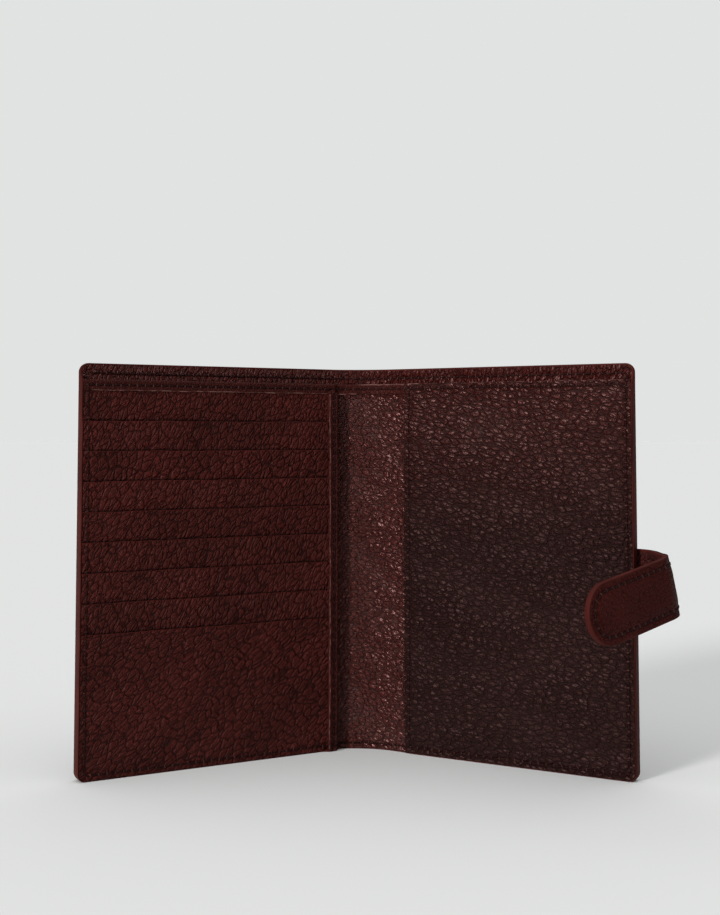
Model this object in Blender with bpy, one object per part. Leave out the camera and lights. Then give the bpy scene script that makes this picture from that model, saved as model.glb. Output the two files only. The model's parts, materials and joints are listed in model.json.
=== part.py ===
"""Passport holder: a leather travel wallet that stands open like a book.

Two stitched covers fold about a narrow spine, and a closure strap with a press stud is sewn to the
outside of the back cover. The model stands on its lower edges with +Z up, and the inside of the
wallet faces -Y. Every layer of leather, board and thread is a solid of its own.

Each body has a frame (an empty) on its fold: local X runs across the width, local Z runs up, and
depth is measured inwards along local -Y from the fold axis, so the outside of the wallet has a
negative depth.
"""

import math

import bmesh
import bpy
from mathutils import Vector

# ---------------------------------------------------------------- driving dimensions, in metres
COVER_HEIGHT = 0.146
COVER_WIDTH = 0.104  # from a fold to the fore edge
SPINE_WIDTH = 0.014  # from fold to fold, the thickness of the closed wallet inside
CORNER_RADIUS = 0.003
BACK_FOLD_AT_REST = math.radians(28.5)
FRONT_FOLD_AT_REST = math.radians(28.5)
GAP = 0.0002  # left between layers that lie on each other

SHELL_THICKNESS = 0.0016
BOARD_THICKNESS = 0.0006
BOARD_INSET = 0.0065
FACING_THICKNESS = 0.0006
DIVIDER_THICKNESS = 0.0005
BINDING_WALL = 0.0003
BASE_THICKNESS = 0.0004
SLOT_THICKNESS = 0.0004
SLOT_LIFT = 0.0006  # how far a slot's mouth stands off the layer behind it
POCKET_THICKNESS = 0.0008
POCKET_BULGE = 0.0010
POCKET_SHOULDER = 0.014  # how far in from its edge the pocket reaches its full bulge

DIVIDER_DROP = 0.0055  # from the top of the covers to the top of the banknote divider
BINDING_HEIGHT = 0.0040
CARD_PANEL_START = 0.0027  # from the front fold
CARD_EDGE_WIDTH = 0.0043
FIRST_MOUTH_HEIGHT = 0.1256
LAST_MOUTH_HEIGHT = 0.0506
SLOT_COUNT = 7  # strips above the large lower panel
SLOT_OVERLAP = 0.004
POCKET_START = 0.0142  # from the back fold

SEAM_INSET = 0.0022
GROOVE_WIDTH = 0.0010
GROOVE_DEPTH = 0.0005
THREAD_WIDTH = 0.0005
THREAD_THICKNESS = 0.0003

STRAP_WIDTH = 0.0200
STRAP_HEIGHT = 0.0700  # centre line above the lower edge
STRAP_LINING_THICKNESS = 0.0008
STRAP_OUTER_THICKNESS = 0.0013
STRAP_ROOT_LENGTH = 0.034
STRAP_EDGE_CLEARANCE = 0.002  # from the fore edge to the strap's first bend
STRAP_ARM_LENGTH = 0.0450  # from the last bend to the tip
STRAP_BEND_AT_REST = math.radians(47)
STRAP_TIP_BEND_AT_REST = math.radians(66)
STRAP_TWIST_AT_REST = math.radians(11.5)

STUD_BALL_RADIUS = 0.0028
STUD_BALL_HEIGHT = 0.0020
STUD_FLANGE_RADIUS = 0.0050
STUD_FLANGE_THICKNESS = 0.0004
STUD_BORE_RADIUS = 0.0013
STUD_POST_RADIUS = 0.0010
STUD_HOLE_RADIUS = 0.0015
POST_FLANGE_RADIUS = 0.0040
SOCKET_RADIUS = 0.0060
SOCKET_CAVITY_RADIUS = 0.0031
SOCKET_CAVITY_DEPTH = 0.0021
SOCKET_BACK_THICKNESS = 0.0005
CAP_RADIUS = 0.0052
CAP_THICKNESS = 0.0003
RIM_STEPS = 32  # sides of a turned piece
CORNER_STEPS = 5
TIP_STEPS = 20

# ---------------------------------------------------------------- depths of the layers
FACING_BACK = GAP
FACING_FRONT = FACING_BACK + FACING_THICKNESS
BINDING_BACK = FACING_FRONT + GAP
DIVIDER_BACK = BINDING_BACK + BINDING_WALL + GAP
DIVIDER_FRONT = DIVIDER_BACK + DIVIDER_THICKNESS
BINDING_FRONT = DIVIDER_FRONT + GAP + BINDING_WALL
CARD_EDGE_BACK = DIVIDER_FRONT + GAP
BASE_BACK = CARD_EDGE_BACK + BINDING_WALL + GAP
BASE_FRONT = BASE_BACK + BASE_THICKNESS
SLOT_BACK = BASE_FRONT + GAP
SLOT_FRONT = SLOT_BACK + SLOT_THICKNESS
MOUTH_BACK = SLOT_BACK + SLOT_LIFT
MOUTH_FRONT = SLOT_FRONT + SLOT_LIFT
CARD_EDGE_FRONT = MOUTH_FRONT + 0.0001
POCKET_BACK = DIVIDER_FRONT + GAP
POCKET_FRONT = POCKET_BACK + POCKET_THICKNESS

STRAP_LINING_BACK = -(SHELL_THICKNESS + GAP + STRAP_LINING_THICKNESS)
STRAP_PLANE = STRAP_LINING_BACK - GAP / 2  # depth of the strap's bend axes at its root
CLOSED_LINING_FRONT = (
    SPINE_WIDTH + SHELL_THICKNESS + GAP + STUD_FLANGE_THICKNESS + GAP
    + SOCKET_CAVITY_DEPTH + SOCKET_BACK_THICKNESS + GAP
)
STRAP_SPAN = CLOSED_LINING_FRONT + STRAP_LINING_THICKNESS + GAP / 2 - STRAP_PLANE
STRAP_HALF_SPAN = STRAP_SPAN / 2
SNAP_ALONG_ARM = STRAP_ARM_LENGTH - STRAP_WIDTH / 2
STUD_ACROSS = COVER_WIDTH + STRAP_EDGE_CLEARANCE - SNAP_ALONG_ARM

BACK, FRONT = 1, -1  # the way a cover runs from its fold along local X


# ---------------------------------------------------------------- materials
def finish(name, colour, roughness, metallic=0.0):
    material = bpy.data.materials.new(name)
    material.use_nodes = True
    shader = material.node_tree.nodes["Principled BSDF"]
    shader.inputs["Base Color"].default_value = (*colour, 1.0)
    shader.inputs["Roughness"].default_value = roughness
    shader.inputs["Metallic"].default_value = metallic
    return material


def make_finishes():
    return {
        "shell": finish("oxblood_grain_leather", (0.060, 0.013, 0.011), 0.48),
        "facing": finish("oxblood_facing_leather", (0.052, 0.011, 0.009), 0.50),
        "panel": finish("oxblood_panel_leather", (0.045, 0.010, 0.008), 0.46),
        "edge": finish("turned_edge_leather", (0.075, 0.018, 0.014), 0.42),
        "strap": finish("strap_leather", (0.050, 0.012, 0.010), 0.44),
        "board": finish("stiffener_board", (0.330, 0.280, 0.210), 0.85),
        "thread": finish("waxed_thread", (0.022, 0.006, 0.006), 0.60),
        "metal": finish("snap_metal", (0.420, 0.380, 0.330), 0.30, 1.0),
    }


# ---------------------------------------------------------------- building blocks
def frame(name, parent, location, turn=(0, 0, 0)):
    empty = bpy.data.objects.new(name, None)
    empty.empty_display_size = 0.01
    bpy.context.scene.collection.objects.link(empty)
    empty.parent = parent
    empty.location = location
    empty.rotation_euler = turn
    return empty


def add_object(name, bm, parent, material=None):
    bmesh.ops.recalc_face_normals(bm, faces=bm.faces)
    mesh = bpy.data.meshes.new(name)
    bm.to_mesh(mesh)
    bm.free()
    obj = bpy.data.objects.new(name, mesh)
    bpy.context.scene.collection.objects.link(obj)
    obj.parent = parent
    if material:
        mesh.materials.append(material)
    return obj


def arc(centre, radius, start, end, steps):
    """Points along an arc, with its angles in quarter turns."""
    for step in range(steps + 1):
        angle = math.radians(90 * (start + (end - start) * step / steps))
        yield centre[0] + radius * math.cos(angle), centre[1] + radius * math.sin(angle)


def cover_outline(side, near, far, low, high, low_radius=0.0, high_radius=0.0):
    """Corner points of a panel from near to far along its cover, with round corners at the fore edge."""
    points = [(near, high), (near, low)]
    if low_radius:
        points += arc((far - low_radius, low + low_radius), low_radius, -1, 0, CORNER_STEPS)
    else:
        points.append((far, low))
    if high_radius:
        points += arc((far - high_radius, high - high_radius), high_radius, 0, 1, CORNER_STEPS)
    else:
        points.append((far, high))
    return [(side * x, z) for x, z in points]


def extruded(name, outline, place, parent, material=None):
    """A closed prism. place gives the 3-D point of an outline point at end 0 and at end 1."""
    bm = bmesh.new()
    ends = [[bm.verts.new(place(point, end)) for point in outline] for end in (0, 1)]
    for loop in ends:
        bm.faces.new(loop)
    for i in range(len(outline)):
        j = (i + 1) % len(outline)
        bm.faces.new((ends[0][i], ends[0][j], ends[1][j], ends[1][i]))
    return add_object(name, bm, parent, material)


def plate(name, outline, back, front, parent, material=None):
    """A panel between two depths, from its outline across the width and height."""
    depths = (back, front)
    return extruded(name, outline, lambda p, end: (p[0], -depths[end], p[1]), parent, material)


def strip(name, profile, side, near, far, parent, material=None):
    """A strip of one profile, given in height and depth, that runs across a cover."""
    ends = (side * near, side * far)
    return extruded(name, profile, lambda p, end: (ends[end], -p[1], p[0]), parent, material)


def column(name, profile, side, low, high, parent, material=None):
    """A strip of one profile, given in width and depth, that runs up a cover."""
    heights = (low, high)
    return extruded(name, profile, lambda p, end: (side * p[0], -p[1], heights[end]), parent, material)


def channel(low, high, back, front, wall):
    """Profile of a strip folded over an edge: closed at high, open at low."""
    return [
        (low, back), (high, back), (high, front), (low, front),
        (low, front - wall), (high - wall, front - wall), (high - wall, back + wall), (low, back + wall),
    ]


def seam_outline(side, near, far, low, high, inset, half_width, radius):
    """A band along three sides of a panel, open at the near side."""
    outer, inner = inset - half_width, inset + half_width

    def three_sides(offset):
        corner = max(radius - offset, 0.0004)
        x, z_low, z_high = far - offset, low + offset, high - offset
        return (
            [(near, z_low)]
            + list(arc((x - corner, z_low + corner), corner, -1, 0, CORNER_STEPS))
            + list(arc((x - corner, z_high - corner), corner, 0, 1, CORNER_STEPS))
            + [(near, z_high)]
        )

    return [(side * x, z) for x, z in three_sides(outer) + three_sides(inner)[::-1]]


def turned(name, profile, centre, outwards, parent, material=None):
    """A turned solid about an axis along local Y through centre. The profile runs in radius and height."""
    bm = bmesh.new()
    direction = Vector((0, outwards, 0))
    middle = Vector(centre)
    rings = []
    for radius, height in profile:
        if radius:
            turns = [2 * math.pi * step / RIM_STEPS for step in range(RIM_STEPS)]
            spokes = [Vector((radius * math.cos(t), 0, radius * math.sin(t))) for t in turns]
        else:
            spokes = [Vector()]
        rings.append([bm.verts.new(middle + spoke + direction * height) for spoke in spokes])
    for inner, outer in zip(rings, rings[1:]):
        for i in range(RIM_STEPS):
            j = (i + 1) % RIM_STEPS
            corners = [inner[i % len(inner)], inner[j % len(inner)], outer[j % len(outer)], outer[i % len(outer)]]
            bm.faces.new(list(dict.fromkeys(corners)))
    obj = add_object(name, bm, parent, material)
    obj.data.shade_smooth()
    obj.data.set_sharp_from_angle(angle=math.radians(35))
    return obj


def cylinder_profile(radius, low, high):
    return [(0, low), (radius, low), (radius, high), (0, high)]


def cut(obj, cutter, operation="DIFFERENCE"):
    cutter.hide_render = True
    cutter.display_type = "WIRE"
    boolean = obj.modifiers.new("cut", "BOOLEAN")
    boolean.operation = operation
    boolean.object = cutter
    return obj


# ---------------------------------------------------------------- covers
def add_groove_and_thread(name, skin, outline_of, back, parent, material):
    """Cuts a seam's groove into the outer face of a skin, at depth back, and lays the thread in it."""
    groove = plate(name + "_groove", outline_of(GROOVE_WIDTH / 2), back - GAP, back + GROOVE_DEPTH, parent)
    cut(skin, groove)
    return plate(name, outline_of(THREAD_WIDTH / 2), back, back + THREAD_THICKNESS, parent, material)


def add_cover(word, side, parent, finishes):
    """The layers that both covers share: shell, board, facing, banknote divider and seam thread."""
    full = (0, COVER_HEIGHT, CORNER_RADIUS, CORNER_RADIUS)
    shell = plate(
        f"{word}_outer_shell", cover_outline(side, GAP / 2, COVER_WIDTH, *full),
        -SHELL_THICKNESS, 0, parent, finishes["shell"],
    )
    board_low, board_high = BOARD_INSET, COVER_HEIGHT - BOARD_INSET
    board_near, board_far = BOARD_INSET / 2, COVER_WIDTH - BOARD_INSET
    recess = plate(
        f"{word}_board_recess",
        cover_outline(side, board_near - GAP, board_far + GAP, board_low - GAP, board_high + GAP),
        -BOARD_THICKNESS - GAP, GAP, parent,
    )
    cut(shell, recess)
    board = plate(
        f"{word}_stiffener_board", cover_outline(side, board_near, board_far, board_low, board_high),
        -BOARD_THICKNESS, 0, parent, finishes["board"],
    )
    plate(
        f"{word}_inner_facing", cover_outline(side, FACING_FRONT + GAP, COVER_WIDTH, *full),
        FACING_BACK, FACING_FRONT, parent, finishes["facing"],
    )
    plate(
        f"{word}_bill_divider",
        cover_outline(
            side, DIVIDER_FRONT + GAP, COVER_WIDTH,
            0, COVER_HEIGHT - DIVIDER_DROP - BINDING_WALL - GAP, CORNER_RADIUS,
        ),
        DIVIDER_BACK, DIVIDER_FRONT, parent, finishes["facing"],
    )

    def seam(half_width):
        return seam_outline(
            side, GAP, COVER_WIDTH, 0, COVER_HEIGHT, SEAM_INSET, half_width, CORNER_RADIUS
        )

    add_groove_and_thread(f"{word}_seam_thread", shell, seam, -SHELL_THICKNESS, parent, finishes["thread"])
    return shell, board


def add_divider_binding(name, side, near, far, parent, finishes):
    top = COVER_HEIGHT - DIVIDER_DROP
    profile = channel(top - BINDING_HEIGHT, top, BINDING_BACK, BINDING_FRONT, BINDING_WALL)
    strip(name, profile, side, near, far, parent, finishes["edge"])


def add_back_cover(parent, finishes):
    add_cover("back", BACK, parent, finishes)
    add_divider_binding(
        "back_divider_binding", BACK, BINDING_FRONT + GAP, POCKET_START - GAP, parent, finishes
    )
    add_passport_pocket(parent, finishes)


def add_passport_pocket(parent, finishes):
    """One panel sewn down on three sides. Its middle stands off the divider, and it opens to the spine."""
    top = COVER_HEIGHT - DIVIDER_DROP
    rim = cover_outline(BACK, POCKET_START, COVER_WIDTH, 0, top, CORNER_RADIUS, 0.0012)
    raised = cover_outline(
        BACK, POCKET_START + POCKET_SHOULDER, COVER_WIDTH - POCKET_SHOULDER,
        POCKET_SHOULDER, top - POCKET_SHOULDER, CORNER_RADIUS, CORNER_RADIUS,
    )
    bm = bmesh.new()
    levels = (
        (raised, POCKET_BACK + POCKET_BULGE), (rim, POCKET_BACK),
        (rim, POCKET_FRONT), (raised, POCKET_FRONT + POCKET_BULGE),
    )
    loops = [[bm.verts.new((x, -depth, z)) for x, z in outline] for outline, depth in levels]
    bm.faces.new(loops[0])
    bm.faces.new(loops[-1])
    for lower, upper in zip(loops, loops[1:]):
        for i in range(len(lower)):
            j = (i + 1) % len(lower)
            bm.faces.new((lower[i], lower[j], upper[j], upper[i]))
    add_object("passport_pocket_panel", bm, parent, finishes["panel"])


def add_front_cover(parent, finishes):
    shell, board = add_cover("front", FRONT, parent, finishes)
    add_divider_binding(
        "front_divider_binding", FRONT, BINDING_FRONT + GAP, COVER_WIDTH, parent, finishes
    )
    add_card_panel(parent, finishes)
    add_stud(shell, board, parent, finishes)


def slot_profile(mouth, slope_end, end, front):
    """Profile of a strip whose mouth stands over the strip above, and whose lower end lies flat."""
    slope_start = mouth - SLOT_OVERLAP - GAP
    return [
        (mouth, MOUTH_BACK), (mouth, MOUTH_FRONT), (slope_start, MOUTH_FRONT), (slope_end, front),
        (end, front), (end, SLOT_BACK), (slope_end, SLOT_BACK), (slope_start, MOUTH_BACK),
    ]


def add_card_panel(parent, finishes):
    """The card pockets: overlapping strips on a base, above one large panel, with a folded edge strip."""
    top = COVER_HEIGHT - DIVIDER_DROP - BINDING_HEIGHT - GAP
    slots_near = CARD_PANEL_START + CARD_EDGE_WIDTH + GAP
    base_near = CARD_PANEL_START + BINDING_WALL + GAP
    plate(
        "card_panel_base", cover_outline(FRONT, base_near, COVER_WIDTH, 0, top, CORNER_RADIUS),
        BASE_BACK, BASE_FRONT, parent, finishes["panel"],
    )
    pitch = (FIRST_MOUTH_HEIGHT - LAST_MOUTH_HEIGHT) / SLOT_COUNT
    for number in range(SLOT_COUNT):
        mouth = FIRST_MOUTH_HEIGHT - pitch * number
        next_mouth = mouth - pitch
        profile = slot_profile(mouth, next_mouth, next_mouth - SLOT_OVERLAP, SLOT_FRONT)
        strip(
            f"card_slot_{number + 1}", profile, FRONT, slots_near, COVER_WIDTH, parent, finishes["panel"]
        )
    profile = slot_profile(LAST_MOUTH_HEIGHT, LAST_MOUTH_HEIGHT - pitch, 0, SLOT_FRONT + GAP)
    lower = strip("card_panel_lower", profile, FRONT, slots_near, COVER_WIDTH, parent, finishes["panel"])
    trim = plate(
        "card_panel_trim",
        cover_outline(FRONT, 0, COVER_WIDTH, 0, COVER_HEIGHT, CORNER_RADIUS, CORNER_RADIUS),
        SLOT_BACK - SLOT_LIFT, MOUTH_FRONT + SLOT_LIFT, parent,
    )
    cut(lower, trim, "INTERSECT")
    edge = [
        (-across, depth)
        for across, depth in channel(
            -CARD_PANEL_START - CARD_EDGE_WIDTH, -CARD_PANEL_START,
            CARD_EDGE_BACK, CARD_EDGE_FRONT, BINDING_WALL,
        )
    ]
    column("card_panel_edge_binding", edge, FRONT, 0, top, parent, finishes["edge"])


def add_stud(shell, board, parent, finishes):
    """The ball half of the press stud, riveted through the front cover from its board side."""
    across = FRONT * STUD_ACROSS
    centre = (across, 0, STRAP_HEIGHT)
    outside = SHELL_THICKNESS + GAP
    hole = turned("stud_hole", cylinder_profile(STUD_HOLE_RADIUS, -GAP, outside + GAP), centre, 1, parent)
    cut(shell, hole)
    well = turned(
        "stud_well", cylinder_profile(POST_FLANGE_RADIUS + GAP, -GAP, BOARD_THICKNESS + GAP), centre, 1, parent
    )
    cut(board, well)
    top = outside + STUD_FLANGE_THICKNESS + STUD_BALL_HEIGHT
    bore_end = top - STUD_FLANGE_THICKNESS
    neck = STUD_BALL_RADIUS * 0.82
    turned(
        "snap_stud",
        [
            (0, bore_end), (STUD_BORE_RADIUS, bore_end), (STUD_BORE_RADIUS, outside),
            (STUD_FLANGE_RADIUS, outside), (STUD_FLANGE_RADIUS, outside + STUD_FLANGE_THICKNESS),
            (neck, outside + STUD_FLANGE_THICKNESS), (neck, top - STUD_BALL_HEIGHT * 0.70),
            (STUD_BALL_RADIUS, top - STUD_BALL_HEIGHT * 0.45), (STUD_BALL_RADIUS * 0.86, top - 0.0003),
            (STUD_BALL_RADIUS * 0.45, top), (0, top),
        ],
        centre, 1, parent, finishes["metal"],
    )
    post_flange = (GAP, BOARD_THICKNESS)
    turned(
        "snap_stud_post",
        [
            (0, post_flange[0]), (POST_FLANGE_RADIUS, post_flange[0]), (POST_FLANGE_RADIUS, post_flange[1]),
            (STUD_POST_RADIUS, post_flange[1]), (STUD_POST_RADIUS, bore_end - GAP), (0, bore_end - GAP),
        ],
        centre, 1, parent, finishes["metal"],
    )


# ---------------------------------------------------------------- spine
def add_spine(parent, finishes):
    """The strip between the folds. Its inner layers stop short of the folds, so that both can close."""
    half = SPINE_WIDTH / 2

    def spine_plate(name, setback, low, high, back, front, material):
        reach = half - setback
        outline = [(-reach, low), (reach, low), (reach, high), (-reach, high)]
        return plate(name, outline, back, front, parent, material)

    shell = spine_plate(
        "spine_outer_shell", GAP / 2, 0, COVER_HEIGHT, -SHELL_THICKNESS, 0, finishes["shell"]
    )
    spine_plate(
        "spine_inner_facing", FACING_FRONT + GAP, 0, COVER_HEIGHT,
        FACING_BACK, FACING_FRONT, finishes["facing"],
    )
    spine_plate(
        "spine_bill_divider", DIVIDER_FRONT + GAP, 0, COVER_HEIGHT - DIVIDER_DROP - BINDING_WALL - GAP,
        DIVIDER_BACK, DIVIDER_FRONT, finishes["facing"],
    )
    reach = half - BINDING_FRONT - GAP
    add_divider_binding("spine_divider_binding", 1, -reach, reach, parent, finishes)
    for name, height in (
        ("spine_lower_thread", SEAM_INSET), ("spine_upper_thread", COVER_HEIGHT - SEAM_INSET)
    ):
        def run(half_width, height=height):
            low, high = height - half_width, height + half_width
            return [(-half + GAP, low), (half - GAP, low), (half - GAP, high), (-half + GAP, high)]

        add_groove_and_thread(name, shell, run, -SHELL_THICKNESS, parent, finishes["thread"])


# ---------------------------------------------------------------- closure strap
def strap_layers(word, near, far, parent, finishes, outline_of=None):
    """The two layers of one stretch of strap. near and far say whether that end is at a bend."""
    def setback(layer_depth, at_bend):
        return layer_depth + GAP if at_bend else GAP / 2

    inner = GAP / 2 + STRAP_LINING_THICKNESS
    made = []
    for layer, back, front, bend_setback in (
        ("lining", GAP / 2, inner, inner), ("outer", -GAP / 2 - STRAP_OUTER_THICKNESS, -GAP / 2, 0)
    ):
        start = near[0] + setback(bend_setback, near[1])
        end = far[0] - setback(bend_setback, far[1])
        outline = (outline_of or strap_rectangle)(start, end)
        made.append(
            plate(f"{word}_{layer}", outline, back, front, parent, finishes["strap"])
        )
    return made


def strap_rectangle(start, end):
    half = STRAP_WIDTH / 2
    return [(start, -half), (end, -half), (end, half), (start, half)]


def tip_outline(start, end, inset=0.0):
    """A stretch of strap that ends in a half round."""
    radius = STRAP_WIDTH / 2
    middle = end - radius
    points = [(start, radius - inset), (start, inset - radius)]
    return points + list(arc((middle, 0), radius - inset, -1, 1, TIP_STEPS))


def tip_seam(start, end, half_width):
    inner = tip_outline(start, end, SEAM_INSET + half_width)
    outer = tip_outline(start, end, SEAM_INSET - half_width)
    return outer[1:] + [outer[0], inner[0]] + inner[1:][::-1]


def add_strap_root(parent, finishes):
    """The sewn end of the strap, on the outside of the back cover."""
    end = COVER_WIDTH + STRAP_EDGE_CLEARANCE
    start = COVER_WIDTH - STRAP_ROOT_LENGTH
    anchor = frame("strap_root_frame", parent, (0, -STRAP_PLANE, STRAP_HEIGHT))
    _, outer = strap_layers("strap_root", (start, False), (end, True), anchor, finishes)

    def seam(half_width):
        reach = STRAP_WIDTH / 2
        radius = SEAM_INSET + GROOVE_WIDTH
        return seam_outline(-1, -end + 2 * GAP, -start, -reach, reach, SEAM_INSET, half_width, radius)

    back = -GAP / 2 - STRAP_OUTER_THICKNESS
    add_groove_and_thread("strap_root_thread", outer, seam, back, anchor, finishes["thread"])


def add_strap_tip(parent, finishes):
    """The free end of the strap, with the socket half of the press stud held between its layers."""
    lining, outer = strap_layers(
        "strap_tip", (0, True), (STRAP_ARM_LENGTH, False), parent, finishes, tip_outline
    )
    end = STRAP_ARM_LENGTH - GAP / 2

    def seam(half_width):
        return tip_seam(2 * GAP, end, half_width)

    back = -GAP / 2 - STRAP_OUTER_THICKNESS
    add_groove_and_thread("strap_tip_thread", outer, seam, back, parent, finishes["thread"])

    centre = (SNAP_ALONG_ARM, 0, 0)
    lining_back, lining_front = GAP / 2, GAP / 2 + STRAP_LINING_THICKNESS
    hole = turned(
        "socket_hole", cylinder_profile(STUD_HOLE_RADIUS, lining_back - GAP, lining_front + GAP),
        centre, -1, parent,
    )
    cut(lining, hole)
    bed = turned(
        "cap_bed", cylinder_profile(CAP_RADIUS + GAP, -GAP / 2 - CAP_THICKNESS - GAP, 0), centre, -1, parent
    )
    cut(outer, bed)
    base = lining_front + GAP
    cavity = base + SOCKET_BACK_THICKNESS
    rim = cavity + SOCKET_CAVITY_DEPTH
    turned(
        "snap_socket",
        [
            (STUD_BORE_RADIUS, base), (SOCKET_RADIUS, base), (SOCKET_RADIUS, rim - 0.0004),
            (SOCKET_RADIUS - 0.0004, rim), (SOCKET_CAVITY_RADIUS, rim), (SOCKET_CAVITY_RADIUS, cavity),
            (STUD_BORE_RADIUS, cavity), (STUD_BORE_RADIUS, base),
        ],
        centre, -1, parent, finishes["metal"],
    )
    merge_seam(bpy.data.objects["snap_socket"])
    cap_low = -GAP / 2 - CAP_THICKNESS
    turned(
        "snap_cap",
        [
            (0, cap_low), (CAP_RADIUS, cap_low), (CAP_RADIUS, -GAP / 2),
            (STUD_POST_RADIUS, -GAP / 2), (STUD_POST_RADIUS, cavity - GAP / 2), (0, cavity - GAP / 2),
        ],
        centre, -1, parent, finishes["metal"],
    )


def merge_seam(obj):
    """Joins the first and last ring of a turned piece whose profile is a closed loop."""
    bm = bmesh.new()
    bm.from_mesh(obj.data)
    bmesh.ops.remove_doubles(bm, verts=bm.verts, dist=1e-6)
    bmesh.ops.recalc_face_normals(bm, faces=bm.faces)
    bm.to_mesh(obj.data)
    bm.free()


# ---------------------------------------------------------------- assembly
def centre_on_origin(root):
    """Moves the wallet so that the middle of its box is over the origin."""
    bpy.context.view_layer.update()
    corners = [
        obj.matrix_world @ Vector(corner)
        for obj in bpy.data.objects
        if obj.type == "MESH" and not obj.hide_render
        for corner in obj.bound_box
    ]
    for axis in (0, 1):
        values = [corner[axis] for corner in corners]
        root.location[axis] = -(min(values) + max(values)) / 2


def build():
    for obj in list(bpy.data.objects):
        bpy.data.objects.remove(obj, do_unlink=True)
    finishes = make_finishes()
    wallet = frame("wallet", None, (0, 0, 0))
    half = SPINE_WIDTH / 2
    back_fold = frame("back_fold", wallet, (half, 0, 0), (0, 0, -BACK_FOLD_AT_REST))
    spine = frame("spine", wallet, (0, 0, 0))
    front_fold = frame("front_fold", wallet, (-half, 0, 0), (0, 0, FRONT_FOLD_AT_REST))
    add_back_cover(back_fold, finishes)
    add_spine(spine, finishes)
    add_front_cover(front_fold, finishes)

    add_strap_root(back_fold, finishes)
    root_bend = frame(
        "strap_root_bend", back_fold,
        (COVER_WIDTH + STRAP_EDGE_CLEARANCE, -STRAP_PLANE, STRAP_HEIGHT), (0, 0, -STRAP_BEND_AT_REST),
    )
    strap_layers("strap_heel", (0, True), (STRAP_HALF_SPAN, False), root_bend, finishes)
    twist = frame("strap_twist", root_bend, (STRAP_HALF_SPAN, 0, 0), (STRAP_TWIST_AT_REST, 0, 0))
    strap_layers("strap_middle", (0, False), (STRAP_HALF_SPAN, True), twist, finishes)
    tip_bend = frame("strap_tip_bend", twist, (STRAP_HALF_SPAN, 0, 0), (0, 0, -STRAP_TIP_BEND_AT_REST))
    add_strap_tip(tip_bend, finishes)
    centre_on_origin(wallet)


build()
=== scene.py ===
# %% [markdown]
# # A passport holder in grained leather
# The holder stands open like a book. Its two stitched covers fold about a narrow spine, and a
# closure strap with a press stud is sewn to the outside of the back cover. The CAD model gives the
# sizes and the joints, and this file gives the looks: every layer of leather is cut, folded, sewn
# and finished in code, and the pieces of the card panel and the passport pocket then ride on the
# CAD body that carries them.

# %% Load the CAD model
import json
import math

import bmesh
import bpy
import numpy as np
from mathutils import Matrix, Vector


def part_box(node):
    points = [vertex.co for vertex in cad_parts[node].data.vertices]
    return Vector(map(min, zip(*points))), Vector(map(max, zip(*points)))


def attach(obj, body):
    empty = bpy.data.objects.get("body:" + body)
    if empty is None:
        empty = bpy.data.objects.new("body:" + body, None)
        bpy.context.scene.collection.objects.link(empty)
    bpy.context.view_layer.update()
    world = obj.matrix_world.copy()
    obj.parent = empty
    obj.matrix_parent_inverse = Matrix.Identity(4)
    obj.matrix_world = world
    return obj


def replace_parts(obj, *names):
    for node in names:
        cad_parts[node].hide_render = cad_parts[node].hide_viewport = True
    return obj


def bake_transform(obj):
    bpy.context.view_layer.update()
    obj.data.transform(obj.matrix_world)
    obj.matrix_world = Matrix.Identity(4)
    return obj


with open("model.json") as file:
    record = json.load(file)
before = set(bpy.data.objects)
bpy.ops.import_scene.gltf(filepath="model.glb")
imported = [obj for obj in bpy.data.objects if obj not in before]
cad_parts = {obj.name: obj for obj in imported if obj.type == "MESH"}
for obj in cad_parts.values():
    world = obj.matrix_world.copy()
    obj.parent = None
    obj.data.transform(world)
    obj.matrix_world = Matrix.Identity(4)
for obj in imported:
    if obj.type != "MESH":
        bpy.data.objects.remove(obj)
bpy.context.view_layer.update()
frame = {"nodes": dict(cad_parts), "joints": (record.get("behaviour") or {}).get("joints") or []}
joints = {joint["name"]: joint for joint in frame["joints"]}
print("joints:", ", ".join(joints))

# %% [markdown]
# ## Sizes
# A wallet maker works from a flat pattern. Here a place on that pattern is three numbers: how far
# across it lies from the middle of the spine, positive towards the back cover, how far up, and how
# deep, positive towards the inside. The fold lines, the angles and the height come from the CAD
# model, and the layers repeat its stack of depths.

# %% Driving dimensions, in metres
MM = 0.001
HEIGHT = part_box("back_outer_shell")[1].z
BACK_FOLD = Vector(joints["back_fold"]["pos_m"])
FRONT_FOLD = Vector(joints["front_fold"]["pos_m"])
BACK_ANGLE = math.radians(-joints["back_fold"]["range_deg"][0])
FRONT_ANGLE = math.radians(-joints["front_fold"]["range_deg"][0])
SPINE_MIDDLE = (BACK_FOLD + FRONT_FOLD) / 2
HALF_SPINE = (BACK_FOLD - FRONT_FOLD).length / 2
COVER_WIDTH = 104 * MM
FORE_EDGE = HALF_SPINE + COVER_WIDTH  # across, from the middle of the spine
CORNER_RADIUS = 3 * MM

OUTSIDE = -1.6 * MM  # depths of the faces of each layer
FACING_FRONT = 0.8 * MM
BAND_BACK = 1.0 * MM
DIVIDER_BACK, DIVIDER_FRONT = 1.5 * MM, 2.0 * MM
BAND_FRONT = 2.5 * MM
CARD_BASE_BACK, CARD_BASE_FRONT = 2.6 * MM, 3.1 * MM
SLOT_FRONT = 3.7 * MM
SLOT_LIFT = 0.8 * MM
POCKET_BACK, POCKET_FRONT = 2.2 * MM, 3.0 * MM
POCKET_BULGE = 1.0 * MM

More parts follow.
